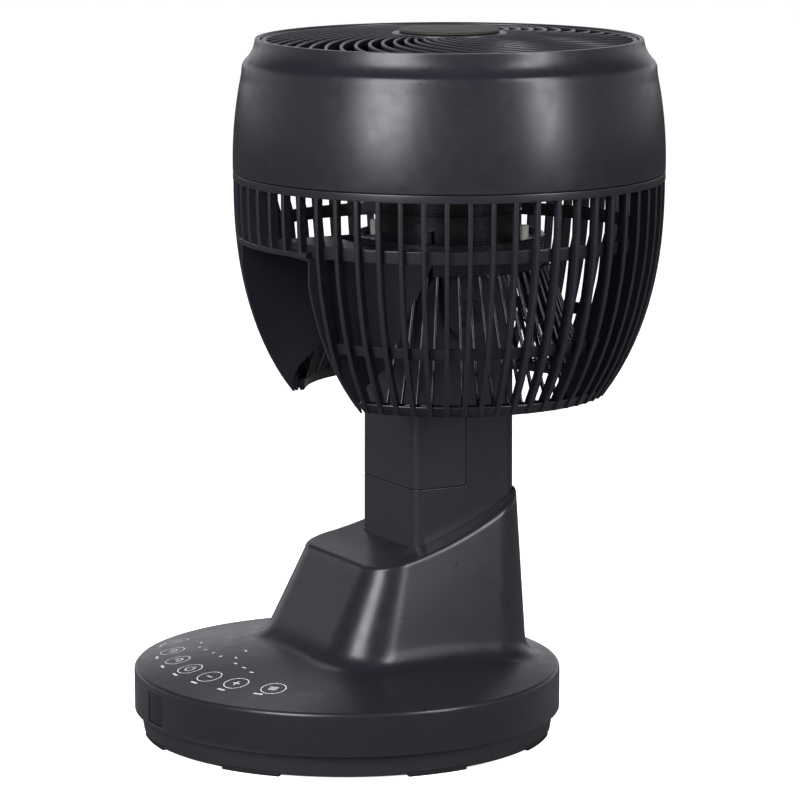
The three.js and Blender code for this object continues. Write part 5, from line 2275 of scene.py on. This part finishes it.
@dataclass
class Studio:
    """The white studio: a floor that keeps the shadow, soft boxes and the camera."""

    eye: tuple[float, float, float] = (1.9896, -1.0928, 0.5866)
    heading: float = 60.5  # degrees from the fan's front to the camera
    pitch: float = 0.1729  # radians down
    yaw: float = -0.0124
    lens: float = 178.96
    aim: tuple[float, float, float] = (0.0, 0.0, 0.25)
    ceiling: float = 0.04  # strength of the dark ceiling, as a share of the walls'
    front_wall: float = 0.4
    back_wall: float = 1.0
    # Each lamp's name, bearing, height, distance, size and power
    lamps: tuple[tuple[str, float, float, float, tuple[float, float], float], ...] = (
        ("KeyLeft", -33, 26, 1.6, (0.7, 1.2), 29),
        ("FillRight", 53, 26, 1.6, (0.35, 1.2), 16),
        ("Back", 180, 40, 1.8, (1.2, 0.8), 3),
    )
    tone: tuple[float, float, float] = (0.95, 0.945, 1.0)  # the lamps' faint blue

    def camera(self) -> None:
        """Sets the camera where the photograph was taken from."""
        cos_p, sin_p = math.cos(self.pitch), math.sin(self.pitch)
        cos_y, sin_y = math.cos(self.yaw), math.sin(self.yaw)
        turn = Matrix.Rotation(math.radians(self.heading), 3, "Z")
        ahead = turn @ Vector((sin_y * cos_p, cos_y * cos_p, -sin_p))
        right = turn @ Vector((cos_y, -sin_y, 0))
        up = right.cross(ahead)
        data = bpy.data.cameras.new("Camera")
        data.lens = self.lens
        data.sensor_width = 36
        data.sensor_fit = "HORIZONTAL"
        data.clip_start, data.clip_end = 0.05, 50
        camera = bpy.data.objects.new("Camera", data)
        facing = Matrix((right, up, -ahead)).transposed().to_4x4()
        camera.matrix_world = Matrix.Translation(self.eye) @ facing
        bpy.context.scene.collection.objects.link(camera)
        bpy.context.scene.camera = camera

    def soft_box(
        self, name: str, bearing: float, height: float, distance: float, size: tuple[float, float],
        power: float,
    ) -> None:
        """Hangs a rectangular soft box that faces the fan.

        Args:
            name: Its name.
            bearing: Degrees to the picture's right of the camera.
            height: Degrees over the floor.
            distance: Metres from the fan.
            size: Width and height, metres.
            power: Watts.
        """
        azimuth = math.radians(self.heading + bearing)
        lift = math.radians(height)
        level = math.cos(lift)
        way = Vector((math.sin(azimuth) * level, -math.cos(azimuth) * level, math.sin(lift)))
        data = bpy.data.lights.new(name, "AREA")
        data.shape = "RECTANGLE"
        data.size, data.size_y = size
        data.energy = power
        data.color = self.tone
        lamp = bpy.data.objects.new(name, data)
        lamp.location = Vector(self.aim) + way * distance
        lamp.rotation_euler = way.to_track_quat("Z", "Y").to_euler()
        bpy.context.scene.collection.objects.link(lamp)

    def world(self) -> None:
        """Sets a world that the camera sees as white, and that lights as a dim-ceilinged room."""
        world = bpy.data.worlds.new("White studio")
        bpy.context.scene.world = world
        world.use_nodes = True
        tree = world.node_tree
        tree.nodes.clear()
        rays = add_node(tree, "ShaderNodeLightPath")
        seen = add_node(
            tree,
            "ShaderNodeMath",
            {"operation": "MAXIMUM"},
            {0: rays.outputs["Is Camera Ray"], 1: rays.outputs["Is Transmission Ray"]},
        )
        way = add_node(tree, "ShaderNodeTexCoord").outputs["Generated"]
        split = add_node(tree, "ShaderNodeSeparateXYZ", {}, {"Vector": way})
        low = remapped(tree, split.outputs["Z"], (0.02, 0.5), (1.0, self.ceiling), smooth=True)
        azimuth = math.radians(self.heading)
        facing = add_node(
            tree,
            "ShaderNodeVectorMath",
            {"operation": "DOT_PRODUCT"},
            {0: way, 1: (-math.sin(azimuth), math.cos(azimuth), 0.0)},
        )
        walls = (self.front_wall, self.back_wall)
        behind = remapped(tree, facing.outputs["Value"], (-0.2, 0.9), walls, smooth=True)
        room = add_node(tree, "ShaderNodeMath", {"operation": "MULTIPLY"}, {0: low, 1: behind})
        strength = add_node(
            tree,
            "ShaderNodeMix",
            {"data_type": "FLOAT"},
            {0: seen.outputs[0], 2: room.outputs[0], 3: 1.0},
        )
        colour = blended(tree, seen.outputs[0], (*self.tone, 1.0), (1.0, 1.0, 1.0, 1.0))
        inputs = {"Color": colour, "Strength": strength.outputs[0]}
        light = add_node(tree, "ShaderNodeBackground", {}, inputs)
        add_node(tree, "ShaderNodeOutputWorld", {}, {"Surface": light.outputs["Background"]})

    def floor(self) -> None:
        """Lays the pale floor, which is lifted to white but keeps the shadow."""
        bm = bmesh.new()
        bmesh.ops.create_grid(bm, x_segments=1, y_segments=1, size=30)
        mesh = bpy.data.meshes.new("StudioFloor")
        bm.to_mesh(mesh)
        bm.free()
        material, tree = blank_material("studio_paper_white")
        rays = add_node(tree, "ShaderNodeLightPath")
        paper, dimmed = (
            add_node(tree, "ShaderNodeBsdfDiffuse", {}, {"Color": linear(code), "Roughness": 0.6})
            for code in ("#f2f2f2", "#8a8a8c")
        )
        glow = add_node(tree, "ShaderNodeEmission", {}, {"Color": (1, 1, 1, 1), "Strength": 0.9})
        lifted = add_node(
            tree, "ShaderNodeAddShader", {}, {0: paper.outputs["BSDF"], 1: glow.outputs["Emission"]}
        )
        mixed = add_node(
            tree,
            "ShaderNodeMixShader",
            {},
            {
                0: rays.outputs["Is Camera Ray"],
                1: dimmed.outputs["BSDF"],
                2: lifted.outputs["Shader"],
            },
        )
        add_node(tree, "ShaderNodeOutputMaterial", {}, {"Surface": mixed.outputs["Shader"]})
        mesh.materials.append(material)
        floor = bpy.data.objects.new("StudioFloor", mesh)
        bpy.context.scene.collection.objects.link(floor)

    def build(self) -> None:
        """Builds the studio."""
        self.camera()
        self.world()
        self.floor()
        for lamp in self.lamps:
            self.soft_box(*lamp)
        bpy.context.scene.view_settings.view_transform = "Standard"
        log.info("studio is set")


def main() -> None:
    """Builds the fan and its studio, piece by piece."""
    logging.basicConfig(level=logging.INFO, format="%(name)s: %(message)s")
    finishes = Finishes()
    Studio().build()
    form = HeadForm()
    cage = InnerCage(form)
    shell = BaseShell()
    for assembly in (
        FrontShell(form),
        Grille(form),
        RearGuard(form),
        cage,
        TiltSlot(form, cage),
        MotorAssembly(),
        Rotor(),
        Neck(),
        Hinge(),
        shell,
        KeyMarks(shell),
        FloorTray(),
    ):
        assembly.build(finishes)
        log.info("%s done", type(assembly).__name__)
    dress_inner_nodes(finishes)


if __name__ == "__main__":
    main()
